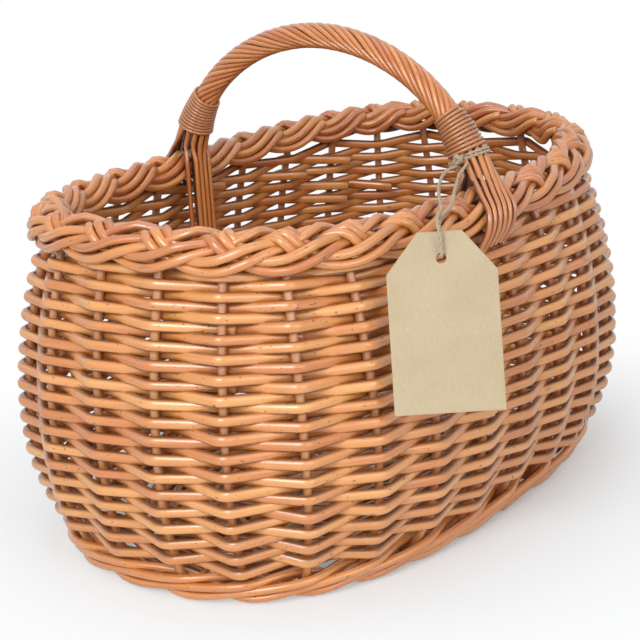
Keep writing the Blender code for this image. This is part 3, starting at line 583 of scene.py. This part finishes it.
def make_stakes(places, finish):
    """The uprights: a tail among the base's edge rows, a bend, the wall and an end inside the border."""
    rods = Rods(seed=21)
    for station in places:
        corner = station.mark(FOOT_LEVEL)
        corner[2] = FOOT_LEVEL
        tail = station.flat(MAT_EDGE_INSET - STAKE_TAIL_LAP, FOOT_LEVEL)
        start = corner - station.outward * STAKE_BEND_REACH
        end = station.mark(WALL_LEVEL)
        path = [tail, (tail + start) / 2]
        for share in np.linspace(0, 1, 6):
            early = start + (corner - start) * share
            late = corner + (end - corner) * share
            path.append(early + (late - early) * share)
        path += [station.mark(height) for height in np.linspace(WALL_LEVEL, SHOULDER_HEIGHT, 14)[1:]]
        path.append(station.border - UP * STAKE_TOP_DROP)
        radius = STAKE_RADIUS * rods.random.uniform(*STAKE_SPREAD)
        rods.add(path, radius, np.cross(UP, station.outward))
    rods.build("stakes", finish, "basket", parts("stake_"))


# The siding

def make_siding(places, finish):
    """Rows of rods laid in front of one stake and behind the next, each rod a few stakes long."""
    rods = Rods(seed=33)
    total = ROW_COUNT * STAKE_COUNT
    spots = []
    for count in range(total):
        height = FIRST_ROW_HEIGHT + (LAST_ROW_HEIGHT - FIRST_ROW_HEIGHT) * count / (total - 1)
        spots.append(places[count % STAKE_COUNT].frame(height))
    at, along, out = np.array(spots).transpose(1, 0, 2)
    at = at + along * rods.random.normal(0, ROW_WANDER, total)[:, None]
    sign = np.where(np.arange(total) % 2 == 0, 1.0, -1.0)
    stand_off = STAKE_RADIUS + ROW_RADIUS + KINK_SQUEEZE
    path = at + out * (sign * stand_off)[:, None]
    first = 1
    while first < total - 2 * FEWEST_STAKE_PAIRS:
        last = first + 2 * rods.random.integers(FEWEST_STAKE_PAIRS, MOST_STAKE_PAIRS + 1)
        if last > total - LAST_ROD_STAKES:
            last = total - 1 - total % 2
        add_siding_rod(rods, path, along, out, first, last)
        first = last
    rods.build("siding", finish, "basket", parts("siding_band_"))


def add_siding_rod(rods, path, along, out, first, last):
    """One rod from the stake that hides its butt to the stake that hides its tip."""
    butt = path[first] - out[first] * (BUTT_TUCK * ROW_RADIUS)
    heading = unit(path[first + 1] - path[first])
    points = [butt - unit(heading + BUTT_TURN * out[first]) * BUTT_REACH, butt]
    ups = [along[first], along[first]]
    for count in range(first + 1, last):
        before = unit(path[count - 1] - path[count])
        after = unit(path[count + 1] - path[count])
        enter = path[count] + before * KINK_REACH
        leave = path[count] + after * KINK_REACH
        for share in np.linspace(0, 1, 5):
            early = enter + (path[count] - enter) * share
            late = path[count] + (leave - path[count]) * share
            points.append(early + (late - early) * share)
            ups.append(along[count])
        points.append((path[count] + path[count + 1]) / 2)
        ups.append(along[count])
    ahead = unit(path[last] - path[last - 1])
    points[-1] = (path[last - 1] + path[last]) / 2
    points += [path[last], path[last] + unit(ahead + TIP_TURN * out[last]) * TIP_REACH]
    ups += [along[last], along[last]]
    thick = rods.random.uniform(*BUTT_SPREAD)
    thin = rods.random.uniform(*TIP_SPREAD)
    radius = ROW_RADIUS * np.linspace(thick, thin, len(points))
    wobble = rods.random.normal(0, 1, len(points) // 6 + 3)
    spots = np.linspace(0, len(wobble) - 1, len(points))
    radius = radius * (1 + ROD_WOBBLE * np.interp(spots, np.arange(len(wobble)), wobble))
    rods.add(points, radius, np.array(ups), flat=ROW_TALL)


# The upsett

def make_upsett(places, finish):
    """Four rods waled round the foot: each lies before three stakes and behind the fourth."""
    rods = Rods(seed=45)
    stand_off = STAKE_RADIUS + UPSETT_RADIUS + UPSETT_CLEAR
    frames = [station.frame(UPSETT_HEIGHT) for station in places]
    for number in range(UPSETT_ROD_COUNT):
        points = []
        ups = []
        for count in range(STAKE_COUNT + 1):
            place, along, outward = frames[count % STAKE_COUNT]
            step = (count + number) % UPSETT_ROD_COUNT
            if step == 0:
                points.append(place - outward * stand_off)
            else:
                points.append(place + outward * stand_off + along * (UPSETT_RISE * (step - 2)))
            ups.append(along)
        points = smooth_route(points, 6 * STAKE_COUNT)
        ups = smooth_route(ups, 6 * STAKE_COUNT)
        rods.add(points, UPSETT_RADIUS, ups)
    rods.build("upsett", finish, "basket", ["upsett_wale"])


# The base

def middle_out(count):
    """Whole numbers either side of nought, as many as the count."""
    return range(-(count // 2), count // 2 + 1)


def long_spoke(number):
    """Where a long stick leaves the base's core on the right, and its heading seen from above."""
    start = np.array([MAT_CORE_HALF_LENGTH, number * LONG_STICK_PITCH])
    run = foot_outline(MAT_EDGE_INSET)[0] - MAT_CORE_HALF_LENGTH
    return start, unit([run, number * LONG_STICK_FAN])


def cross_spoke(number):
    return np.array([number * CROSS_STICK_PITCH, MAT_CORE_HALF_WIDTH]), np.array([0.0, 1.0])


def base_spokes():
    """Each base stick end as a start and a heading, counted round from the right."""
    spokes = [long_spoke(number) for number in middle_out(LONG_STICK_COUNT)]
    spokes += [cross_spoke(-number) for number in middle_out(CROSS_STICK_COUNT)]
    return spokes + [(-start, -heading) for start, heading in spokes]


def spoke_place(spoke, inset):
    start, heading = spoke
    return start + heading * reach_to(foot_outline(inset), start, heading, *SPOKE_SEARCH)


def make_base_sticks(finish):
    rods = Rods(seed=57)
    for number in middle_out(LONG_STICK_COUNT):
        start, heading = long_spoke(number)
        flat = start + heading * (MAT_FLAT_HALF_LENGTH - MAT_CORE_HALF_LENGTH)
        end = spoke_place((start, heading), MAT_EDGE_INSET)
        right = [(*start, FOOT_LEVEL + BASE_STICK_RISE), (*flat, FOOT_LEVEL), (*end, FOOT_LEVEL)]
        left = [(-x, y, z) for x, y, z in right[::-1]]
        rods.add(smooth_route(left + right, 60), BASE_STICK_RADIUS, UP)
    for number in middle_out(CROSS_STICK_COUNT):
        x = number * CROSS_STICK_PITCH
        end = spoke_place(cross_spoke(number), MAT_EDGE_INSET)
        far = [
            (x, MAT_CORE_HALF_WIDTH, FOOT_LEVEL - BASE_STICK_RISE),
            (x, MAT_FLAT_HALF_WIDTH, FOOT_LEVEL),
            (x, end[1], FOOT_LEVEL),
        ]
        near = [(x, -y, z) for x, y, z in far[::-1]]
        rods.add(smooth_route(near + far, 50), BASE_STICK_RADIUS, UP)
    nodes = parts("base_long_stick_") + parts("base_cross_stick_")
    rods.build("base_sticks", finish, "basket", nodes)


def make_base_weave(places, finish):
    """Two rods chase each other over and under the sticks. Edge rows on the stake tails close the mat."""
    rods = Rods(seed=69)
    spokes = base_spokes()
    lift = BASE_STICK_RADIUS + WEAVER_RADIUS
    for weaver in range(WEAVER_COUNT):
        points = []
        for count in range(WEAVER_TURNS * len(spokes)):
            laps = WEAVER_COUNT * (WEAVER_TURNS - count / len(spokes)) - weaver
            inset = MAT_EDGE_INSET + WEAVER_PITCH * laps
            place = spoke_place(spokes[count % len(spokes)], inset)
            sign = 1 if (count + weaver) % 2 == 0 else -1
            points.append((*place, FOOT_LEVEL + sign * lift))
        rods.add(smooth_route(points, 8 * len(points)), WEAVER_RADIUS, UP, sides=10)
    for row in range(EDGE_ROW_COUNT):
        points = []
        for count in range(STAKE_COUNT + 1):
            inset = MAT_EDGE_INSET - EDGE_ROW_START - EDGE_ROW_PITCH * (row + count / STAKE_COUNT)
            sign = 1 if (count + row) % 2 == 0 else -1
            points.append(places[count % STAKE_COUNT].flat(inset, FOOT_LEVEL + sign * lift))
        rods.add(smooth_route(points, 6 * len(points)), WEAVER_RADIUS, UP, sides=10)
    rods.build("base_weave", finish, "basket", parts("base_weaver_"))


# The plaited border

BORDER_ROD_RADIUS = 0.0028
BORDER_ROD_PITCH = 0.0053
BORDER_ROD_SPREAD = (0.96, 1.05)
BORDER_ROD_TAPER = (1.03, 0.95)
STRAND_STAKES = 4
STRAND_STEPS = 2 * STRAND_STAKES
HALF_STEP = 0.0205
ROLL_GIRTH = 0.0105
ROLL_HALF_WIDTH = 0.0079
ROLL_HALF_HEIGHT = 0.0114
ROLL_MIDDLE = math.radians(29)
ROLL_SWING = math.radians(82)
ROLL_LEAN = math.radians(12)
ROLL_DEPTH = 0.0030
ROLL_SKEW = 0.40
ROLL_SKEW_MIDDLE = math.radians(70)
OVER_TURNS = np.radians([0, 30, 50, 66, 83, 100, 121, 150, 180])
OVER_SHARES = np.array([0, 0.8, 1, 0, -1, 0, 1, 0.7, 0])

# A strand's rods: the side each lies on, and the degrees of the plait where it starts and ends
STRAND_RODS = ((0.5, 88, 456), (-0.5, 93, 461), (-1.5, 124, 302))
DEGREES_PER_MARK = 6
SLOPE_STEP = 0.1


def over_share(phase):
    """How far a strand stands out of the roll: over, under and over going up, the reverse coming down."""
    way = np.mod(phase, 2 * math.pi)
    rising = way < math.pi
    place = np.where(rising, way, 2 * math.pi - way)
    return np.where(rising, 1, -1) * np.interp(place, OVER_TURNS, OVER_SHARES)


def strand_turn(steps):
    """A strand's phase and its turn from the roll's crest. It climbs slowly and comes down steeply."""
    even = 2 * math.pi * steps / STRAND_STEPS
    phase = even - ROLL_SKEW * np.sin(even - ROLL_SKEW_MIDDLE)
    return phase, ROLL_MIDDLE + ROLL_SWING * np.cos(phase)


def border_places(half_places, steps):
    """The border's middle line and its outward directions at fractional half stations."""
    marks = np.array([station.border for station in half_places])
    outs = np.array([station.outward for station in half_places])
    low = np.floor(steps).astype(int)
    share = (steps - low)[:, None]
    low = low % len(marks)
    high = (low + 1) % len(marks)
    at = marks[low] * (1 - share) + marks[high] * share
    return at, unit(outs[low] * (1 - share) + outs[high] * share)


def strand_rod(half_places, steps, shift):
    """The line of a rod to the side of its strand's middle, with its directions out of the roll."""
    phase, turn = strand_turn(steps)
    rise = strand_turn(steps + SLOPE_STEP)[1] - strand_turn(steps - SLOPE_STEP)[1]
    slope = rise / (2 * SLOPE_STEP) * ROLL_GIRTH / HALF_STEP
    lean = 1 / np.sqrt(1 + slope**2)
    angle = turn + shift * lean / ROLL_GIRTH
    at, out = border_places(half_places, steps - shift * slope * lean / HALF_STEP)
    crest = UP * math.cos(ROLL_LEAN) - out * math.sin(ROLL_LEAN)
    brow = out * math.cos(ROLL_LEAN) + UP * math.sin(ROLL_LEAN)
    depth = ROLL_DEPTH * over_share(phase)
    wide = ((ROLL_HALF_WIDTH + depth) * np.sin(angle))[:, None]
    high = ((ROLL_HALF_HEIGHT + depth) * np.cos(angle))[:, None]
    ups = unit(brow * np.sin(angle)[:, None] + crest * np.cos(angle)[:, None])
    return at + brow * wide + crest * high, ups


def make_border(half_places, finish):
    """Strands of side-by-side rods plaited in a roll over the stake ends, each four stakes long."""
    rods = Rods(seed=81)
    for number in range(STAKE_COUNT):
        for side, first, last in STRAND_RODS:
            count = (last - first) // DEGREES_PER_MARK
            steps = STRAND_STEPS * (number + np.linspace(first, last, count) / 360)
            points, ups = strand_rod(half_places, steps, side * BORDER_ROD_PITCH)
            size = BORDER_ROD_RADIUS * rods.random.uniform(*BORDER_ROD_SPREAD)
            rods.add(points, size * np.linspace(*BORDER_ROD_TAPER, count), ups)
    rods.build("border", finish, "basket", parts("border_strand_"))


# The handle

HOOP_MARKS = 3600
HOOP_STEP = 0.0005


class Hoop:
    """The handle's middle line, a round arch standing over the basket's middle."""

    def __init__(self):
        turns = np.linspace(0, math.pi, HOOP_MARKS)
        rise = CROWN_HEIGHT - HANDLE_SPRING_HEIGHT
        self.y = -HANDLE_HALF_SPAN * np.sign(np.cos(turns)) * np.abs(np.cos(turns)) ** HANDLE_ROUND
        self.z = HANDLE_SPRING_HEIGHT + rise * np.abs(np.sin(turns)) ** HANDLE_ROUND
        self.lengths = np.concatenate([[0.0], np.cumsum(np.hypot(np.diff(self.y), np.diff(self.z)))])
        near = slice(0, HOOP_MARKS // 2)
        self.collar_foot = np.interp(COLLAR_FOOT_HEIGHT, self.z[near], self.lengths[near])
        self.collar_top = np.interp(COLLAR_TOP_HEIGHT, self.z[near], self.lengths[near])
        self.leg_top = np.interp(LEG_TOP_HEIGHT, self.z[near], self.lengths[near])
        self.length = self.lengths[-1]

    def at(self, length):
        y = np.interp(length, self.lengths, self.y)
        z = np.interp(length, self.lengths, self.z)
        return np.array([0.0, y, z])

    def nearest(self, point):
        """The middle line's place beside a point. Below the arch it runs straight down."""
        side = self.y < 0 if point[1] < 0 else self.y >= 0
        if point[2] < LEG_TOP_HEIGHT:
            return np.array([point[0], math.copysign(BORDER_OUTLINE[1], point[1]), point[2]])
        distance = np.hypot(self.y[side] - point[1], self.z[side] - point[2])
        index = int(np.argmin(distance))
        return np.array([0.0, self.y[side][index], self.z[side][index]])

    def outward(self, length):
        ahead = unit(self.at(length + HOOP_STEP) - self.at(length - HOOP_STEP))
        return np.cross(ALONG, ahead)

    def around(self, length, reach, turn):
        """A point beside the middle line, turned from its outer side."""
        side = self.outward(length) * math.cos(turn) + ALONG * math.sin(turn)
        return self.at(length) + side * reach


ROPING_COUNT = 12
ROPING_RADIUS = 0.00172
ROPING_REACH = 0.0063
ROPING_DRIFT = 0.05
ROPING_SPREAD = (0.95, 1.04)
ROPING_SQUEEZE = 0.07
ROPING_SQUEEZE_RISE = 0.006
CORE_RADIUS = 0.0042
CORE_TONE = 1.6
COLLAR_FOOT_REACH = 0.0090
OUTER_LEG_FAN = 0.0135
INNER_LEG_FAN = 0.0104
WIDEST_LEG_TURN = math.radians(75)
INMOST_COSINE = -0.6
LEG_MARKS = 26

# The outer legs' lower marks: share of the fan, slide along the border, way outward and height
OUTER_LEG_MARKS = (
    (1.0, 0.0140, 0.0, 0.1995),
    (1.0, 0.0165, 0.0006, 0.1900),
    (0.93, 0.0190, -0.0042, 0.1790),
)


def collar_reach(share):
    return ROPING_REACH + (COLLAR_FOOT_REACH - ROPING_REACH) * share


def leg(hoop, side, turn):
    """The marks of a rod below a collar, from the collar down. Side is -1 at the near collar."""
    foot = hoop.collar_foot if side < 0 else hoop.length - hoop.collar_foot
    top = hoop.leg_top if side < 0 else hoop.length - hoop.leg_top
    start = hoop.around(foot, COLLAR_FOOT_REACH, turn)
    fan = math.asin(math.sin(turn)) / WIDEST_LEG_TURN
    if math.cos(turn) > 0:
        x = OUTER_LEG_FAN * fan
        y = BORDER_OUTLINE[1] + OUTER_LEG_REACH
        low = [
            np.array([x * share + side * slide, side * (y + out), height])
            for share, slide, out, height in OUTER_LEG_MARKS
        ]
        return [start + (low[0] - start) * share for share in (0.0, 0.35, 0.7)] + low
    stagger = INNER_LEG_STAGGER if math.cos(turn) < INMOST_COSINE else 0.0
    x = INNER_LEG_FAN * fan
    y = side * (BORDER_OUTLINE[1] - INNER_LEG_CLEAR - stagger)
    heights = (BORDER_HEIGHT + INNER_LEG_OVER, BORDER_HEIGHT - INNER_LEG_UNDER, INNER_LEG_FOOT_HEIGHT)
    low = [np.array([x, y, height]) for height in heights]
    return [start, hoop.around(top, COLLAR_FOOT_REACH, turn)] + low


def roping_route(hoop, near_turn, ease):
    """A roping rod from the tip of its near leg over the arch to the tip of its far leg."""
    total_twist = 2 * math.pi * ROPING_TURNS
    far_turn = near_turn + total_twist
    collar_length = hoop.collar_top - hoop.collar_foot
    points = list(smooth_route(leg(hoop, -1, near_turn), LEG_MARKS)[::-1])
    for share in np.linspace(0, 1, 6)[1:]:
        length = hoop.collar_foot + collar_length * share
        points.append(hoop.around(length, collar_reach(1 - share), near_turn))
    for share in np.linspace(0, 1, 110)[1:]:
        length = hoop.collar_top + (hoop.length - 2 * hoop.collar_top) * share
        drift = ease * math.sin(math.pi * share)
        points.append(hoop.around(length, ROPING_REACH, near_turn + total_twist * share + drift))
    for share in np.linspace(0, 1, 6)[1:-1]:
        length = hoop.length - hoop.collar_top + collar_length * share
        points.append(hoop.around(length, collar_reach(share), far_turn))
    points += list(smooth_route(leg(hoop, 1, far_turn), LEG_MARKS))
    return np.array(points)


def make_handle(hoop, finish):
    """Twelve rods twisted round a core, straight inside the collars and down the legs."""
    rods = Rods(seed=93)
    for number in range(ROPING_COUNT):
        near_turn = 2 * math.pi * (number + 0.5) / ROPING_COUNT
        points = roping_route(hoop, near_turn, rods.random.uniform(-ROPING_DRIFT, ROPING_DRIFT))
        middle = np.array([hoop.nearest(point) for point in points])
        twisted = np.clip((points[:, 2] - COLLAR_TOP_HEIGHT) / ROPING_SQUEEZE_RISE, 0, 1)
        radius = ROPING_RADIUS * rods.random.uniform(*ROPING_SPREAD) * (1 - ROPING_SQUEEZE * twisted)
        rods.add(points, radius, points - middle)
    y = BORDER_OUTLINE[1] - INNER_LEG_CLEAR
    arch = np.linspace(hoop.collar_foot, hoop.length - hoop.collar_foot, 60)
    points = [(0.0, -y, INNER_LEG_FOOT_HEIGHT), (0.0, -y, BORDER_HEIGHT)]
    points += [hoop.at(length) for length in arch]
    points += [(0.0, y, BORDER_HEIGHT), (0.0, y, INNER_LEG_FOOT_HEIGHT)]
    rods.add(smooth_route(points, 120), CORE_RADIUS, ALONG, sides=14, tone=CORE_TONE)
    nodes = parts("handle_roping_") + ["handle_core"]
    rods.build("handle", finish, "basket", nodes)


CANE_LOOPS = 11
CANE_MARKS_PER_LOOP = 24
CANE_RADIUS = 0.00105
CANE_FLAT = 0.82
CANE_STAND_OFF = 0.0008
CANE_TONE = 0.6


def make_collar(hoop, name, side, finish, seed):
    """Split cane wound side by side round the rods."""
    rods = Rods(seed)
    count = CANE_LOOPS * CANE_MARKS_PER_LOOP
    points = []
    ups = []
    for index in range(count + 1):
        share = index / count
        length = hoop.collar_foot + (hoop.collar_top - hoop.collar_foot) * share
        if side > 0:
            length = hoop.length - length
        turn = 2 * math.pi * index / CANE_MARKS_PER_LOOP
        reach = collar_reach(1 - share) + ROPING_RADIUS + CANE_STAND_OFF
        points.append(hoop.around(length, reach, turn))
        ups.append(hoop.around(length, 1.0, turn) - hoop.at(length))
    rods.add(points, CANE_RADIUS, np.array(ups), sides=10, flat=CANE_FLAT, tone=CANE_TONE)
    rods.build(name, finish, "basket", [name])


# The twine and the tag

PLY_RADIUS = 0.00064
PLY_REACH = 0.00054
PLY_PITCH = 0.0066
SLACK_END_SHARE = 0.26
SLACK_END_LENGTH = 0.012
HITCH_TURNS = 2
HITCH_MARKS_PER_TURN = 112
HITCH_TOP_DROP = 0.0008
HITCH_PITCH = 0.001716
HITCH_PLY_RADIUS = 0.00056
HITCH_PLY_REACH = 0.00046
HITCH_CLEAR = 0.0004
KNOT_TURN = math.radians(-62)
KNOT_SIZE = (0.0021, 0.0020, 0.0017)
FRAY_COUNT = 16
FRAY_RADIUS = 0.00017
FRAY_LENGTHS = (0.0050, 0.0085)
FRAY_SCATTER = 0.32
FRAY_SAG = 0.0009
HOLE_MARKS = 32
CARD_EDGE_ANGLE = math.radians(40)
CARD_BEVEL = 0.00012


def tag_point(across, upward, forward):
    """A point measured from the tag's hole along the card's width, its height and out of its face."""
    facing = unit(TAG_FACING)
    level = unit(np.cross(UP, facing))
    return TAG_HOLE + level * across + np.cross(facing, level) * upward + facing * forward


def carried_ups(path, first):
    """Directions square to the path, carried along it with no twist."""
    ups = []
    current = np.array(first, float)
    for ahead in unit(np.gradient(path, axis=0)):
        current = unit(current - ahead * (current @ ahead))
        ups.append(current)
    return np.array(ups)


def add_twine(rods, path, radius=PLY_RADIUS, reach=PLY_REACH, slack_ends=0.0):
    """Two plies twisted round each other along the path, thinner at its ends by the slack share."""
    ups = carried_ups(path, UP)
    ahead = unit(np.gradient(path, axis=0))
    across = np.cross(ahead, ups)
    length = lengths_along(path)
    near_end = np.clip(1 - np.minimum(length, length[-1] - length) / SLACK_END_LENGTH, 0, 1)
    size = 1 - slack_ends * near_end
    for start in (0.0, 0.5):
        turn = 2 * math.pi * (length / PLY_PITCH + start)
        side = ups * np.cos(turn)[:, None] + across * np.sin(turn)[:, None]
        rods.add(path + side * (reach * size)[:, None], radius * size, side, sides=8)


def twine_route():
    marks = list(TWINE_LEFT_ROUTE)
    marks.append(tag_point(-TWINE_RADIUS, TAG_HOLE_DROP + TWINE_CLIMB, TWINE_TURN_RADIUS))
    seat = (TAG_HOLE_RADIUS - TWINE_RADIUS) / 2
    for turn in np.linspace(0, math.pi, 7):
        drop = seat + TWINE_TURN_RADIUS * (1 - math.sin(turn))
        marks.append(tag_point(0, drop, TWINE_TURN_RADIUS * math.cos(turn)))
    marks.append(tag_point(TWINE_RADIUS, TAG_HOLE_DROP + TWINE_CLIMB, -TWINE_TURN_RADIUS))
    marks += TWINE_RIGHT_ROUTE
    return smooth_route(marks, 320)


def make_twine_fall(finish):
    route = twine_route()
    rods = Rods(seed=105)
    add_twine(rods, route, slack_ends=SLACK_END_SHARE)
    twine = rods.build("twine", finish, "twine", ["twine_fall"])


def make_twine_hitch(hoop, finish):
    """The twine's turns round the foot of the near collar, its knot and its frayed ends."""
    rods = Rods(seed=117)
    reach = COLLAR_FOOT_REACH + ROPING_RADIUS + HITCH_CLEAR + TWINE_RADIUS
    points = []
    for index in range(HITCH_TURNS * HITCH_MARKS_PER_TURN + 1):
        laps = index / HITCH_MARKS_PER_TURN
        length = hoop.collar_foot - HITCH_TOP_DROP - HITCH_PITCH * laps
        points.append(hoop.around(length, reach, KNOT_TURN + 2 * math.pi * laps))
    add_twine(rods, np.array(points), HITCH_PLY_RADIUS, HITCH_PLY_REACH)
    knot = np.array(KNOT_PLACE)
    turns = np.linspace(0, 4.6 * math.pi, 110)
    wraps = np.column_stack([np.cos(turns), np.sin(turns), np.sin(1.5 * turns)])
    add_twine(rods, knot + wraps * KNOT_SIZE)
    for _ in range(FRAY_COUNT):
        lean = unit(FRAY_LEAN + rods.random.normal(0, FRAY_SCATTER, 3))
        reach = rods.random.uniform(*FRAY_LENGTHS)
        marks = [knot, knot + lean * reach * 0.6, knot + lean * reach - UP * FRAY_SAG]
        rods.add(smooth_route(marks, 7), FRAY_RADIUS, ALONG, sides=5)
    rods.build("twine_hitch", finish, "basket", ["twine_hitch"])


def tag_loops():
    """The card's edge and its hole, each place measured across and upward from the hole's middle."""
    top = TAG_HOLE_DROP
    shoulder = TAG_HOLE_DROP - TAG_CHAMFER_DROP
    bottom = TAG_HOLE_DROP - TAG_HEIGHT
    edge = [
        (-TAG_TOP_WIDTH / 2, top),
        (-TAG_WIDTH / 2, shoulder),
        (-TAG_WIDTH / 2, bottom),
        (TAG_WIDTH / 2, bottom),
        (TAG_WIDTH / 2, shoulder),
        (TAG_TOP_WIDTH / 2, top),
    ]
    turns = math.pi / 2 + 2 * math.pi * np.arange(HOLE_MARKS) / HOLE_MARKS
    ring = [(TAG_HOLE_RADIUS * math.cos(turn), TAG_HOLE_RADIUS * math.sin(turn)) for turn in turns]
    return edge, ring


def make_tag(finish):
    """A card with a chamfered top and a round hole."""
    card = bmesh.new()
    sides = []
    for half in (-TAG_THICKNESS / 2, TAG_THICKNESS / 2):
        rows = []
        for loop in tag_loops():
            rows.append([card.verts.new(tuple(tag_point(x, y, half) - TAG_HOLE)) for x, y in loop])
        sides.append(rows)
        lines = []
        for row in rows:
            lines += [card.edges.new(pair) for pair in zip(row, row[1:] + row[:1])]
        bmesh.ops.triangle_fill(card, edges=lines, use_beauty=True)
    for back, front in zip(sides[0], sides[1]):
        for index in range(len(back)):
            beside = (index + 1) % len(back)
            card.faces.new((back[index], back[beside], front[beside], front[index]))
    bmesh.ops.recalc_face_normals(card, faces=card.faces)
    sharp = [line for line in card.edges if line.calc_face_angle(0.0) > CARD_EDGE_ANGLE]
    bmesh.ops.bevel(card, geom=sharp, offset=CARD_BEVEL, segments=2, affect="EDGES")
    data = bpy.data.meshes.new("hang_tag")
    card.to_mesh(data)
    card.free()
    place_piece("tag_card", data, finish, "tag", ["hang_tag"], tuple(TAG_HOLE))


# The floor, the backdrop and the lamps

FLOOR_REACH = 30.0
FLOOR_COLOUR = (0.88, 0.94, 0.965, 1.0)
FLOOR_SHADED_REACH = 0.02
FLOOR_WHITE_REACH = 0.37
BACKDROP_COLOUR = (0.96, 0.98, 1.0, 1.0)
BACKDROP_STRENGTH = 0.42
LAMP_AIM = (0.0, 0.0, 0.12)


def make_floor():
    """A pale floor that keeps the basket's shadow and turns white further out."""
    corners = [(x * FLOOR_REACH, y * FLOOR_REACH, 0.0) for x, y in ((-1, -1), (1, -1), (1, 1), (-1, 1))]
    data = bpy.data.meshes.new("floor")
    data.from_pydata(corners, [], [(0, 1, 2, 3)])
    finish = Finish("floor", 0.9, specular=0.0)
    finish.set("Base Color", FLOOR_COLOUR)
    shaded = Value(finish, finish.surface.outputs[0])
    white = finish.node("ShaderNodeEmission", {}, {"Color": WHITE})
    place = finish.node("ShaderNodeNewGeometry", {}, {}, "Position")
    distance = finish.node("ShaderNodeVectorMath", {"operation": "LENGTH"}, {0: place}, "Value")
    far = finish.step(distance, FLOOR_SHADED_REACH, FLOOR_WHITE_REACH)
    seen = finish.node("ShaderNodeLightPath", {}, {}, "Is Camera Ray")
    mixed = finish.node("ShaderNodeMixShader", {}, {0: far * seen, 1: shaded, 2: white})
    finish.feed(finish.tree.nodes["Material Output"].inputs["Surface"], mixed)
    data.materials.append(finish.material)
    floor = bpy.data.objects.new("floor", data)
    bpy.context.scene.collection.objects.link(floor)


def make_world():
    """Soft light from all round, which the camera and glossy skins see as plain white."""
    world = bpy.data.worlds.new("studio")
    bpy.context.scene.world = world
    nodes = Nodes(world)
    nodes.tree.nodes.remove(nodes.tree.nodes["Background"])
    dimmed = {"Color": BACKDROP_COLOUR, "Strength": BACKDROP_STRENGTH}
    soft = nodes.node("ShaderNodeBackground", {}, dimmed)
    white = nodes.node("ShaderNodeBackground", {}, {"Color": WHITE})
    camera = nodes.node("ShaderNodeLightPath", {}, {}, "Is Camera Ray")
    glossy = nodes.node("ShaderNodeLightPath", {}, {}, "Is Glossy Ray")
    through = nodes.node("ShaderNodeLightPath", {}, {}, "Is Transmission Ray")
    seen = nodes.math("MAXIMUM", nodes.math("MAXIMUM", camera, glossy), through)
    mixed = nodes.node("ShaderNodeMixShader", {}, {0: seen, 1: soft, 2: white})
    nodes.feed(nodes.tree.nodes["World Output"].inputs["Surface"], mixed)


def make_lamp(name, place, size, power):
    data = bpy.data.lights.new(name, "AREA")
    data.shape = "DISK"
    data.size = size
    data.energy = power
    lamp = bpy.data.objects.new(name, data)
    bpy.context.scene.collection.objects.link(lamp)
    lamp.location = place
    lamp.rotation_euler = (Vector(LAMP_AIM) - Vector(place)).to_track_quat("-Z", "Y").to_euler()


PALE_SIDING = (0.81, 0.350, 0.088, 1.0)
DEEP_SIDING = (0.60, 0.178, 0.027, 1.0)
PALE_PLAIT = (0.69, 0.265, 0.060, 1.0)
DEEP_PLAIT = (0.49, 0.124, 0.017, 1.0)
PALE_STAKE = (0.66, 0.29, 0.10, 1.0)
DEEP_STAKE = (0.46, 0.15, 0.040, 1.0)
PALE_BASE = (0.66, 0.36, 0.16, 1.0)
DEEP_BASE = (0.46, 0.19, 0.06, 1.0)
PALE_CANE = (0.62, 0.27, 0.10, 1.0)
DEEP_CANE = (0.40, 0.13, 0.04, 1.0)


def main():
    scene = bpy.context.scene
    scene.view_settings.view_transform = "Standard"
    make_camera()
    twine_finish = jute()
    make_twine_fall(twine_finish)
    make_tag(kraft())
    hoop = Hoop()
    make_twine_hitch(hoop, twine_finish)
    half_places = stations(2 * STAKE_COUNT)
    places = half_places[::2]
    make_stakes(places, willow("stake_willow", PALE_STAKE, DEEP_STAKE))
    # The siding's finish paints shade between the rows.
    make_siding(places, willow("siding_willow", PALE_SIDING, DEEP_SIDING, painted_seam_shade=0.75))
    make_upsett(places, willow("upsett_willow", PALE_SIDING, DEEP_SIDING))
    base_willow = willow("base_willow", PALE_BASE, DEEP_BASE, roughness=0.5, coat=0.1)
    make_base_sticks(base_willow)
    make_base_weave(places, base_willow)
    # The border's and the handle's finishes paint shade on the rods' sides that face the middle of their
    # bundle.
    make_border(half_places, willow("border_willow", PALE_PLAIT, DEEP_PLAIT, painted_hollow_shade=0.6))
    make_handle(hoop, willow("handle_willow", PALE_PLAIT, DEEP_PLAIT, painted_hollow_shade=0.9))
    cane = willow("collar_cane", PALE_CANE, DEEP_CANE, roughness=0.30, coat=0.5)
    make_collar(hoop, "collar_near", -1, cane, seed=129)
    make_collar(hoop, "collar_far", 1, cane, seed=141)
    make_floor()
    make_world()
    make_lamp("key_lamp", (-1.28, -0.36, 0.92), 0.60, 12.4)
    make_lamp("front_lamp", (-0.5, -1.5, 0.75), 0.9, 6.0)
    make_lamp("top_lamp", (0.1, 0.1, 1.6), 0.9, 3.0)


main()
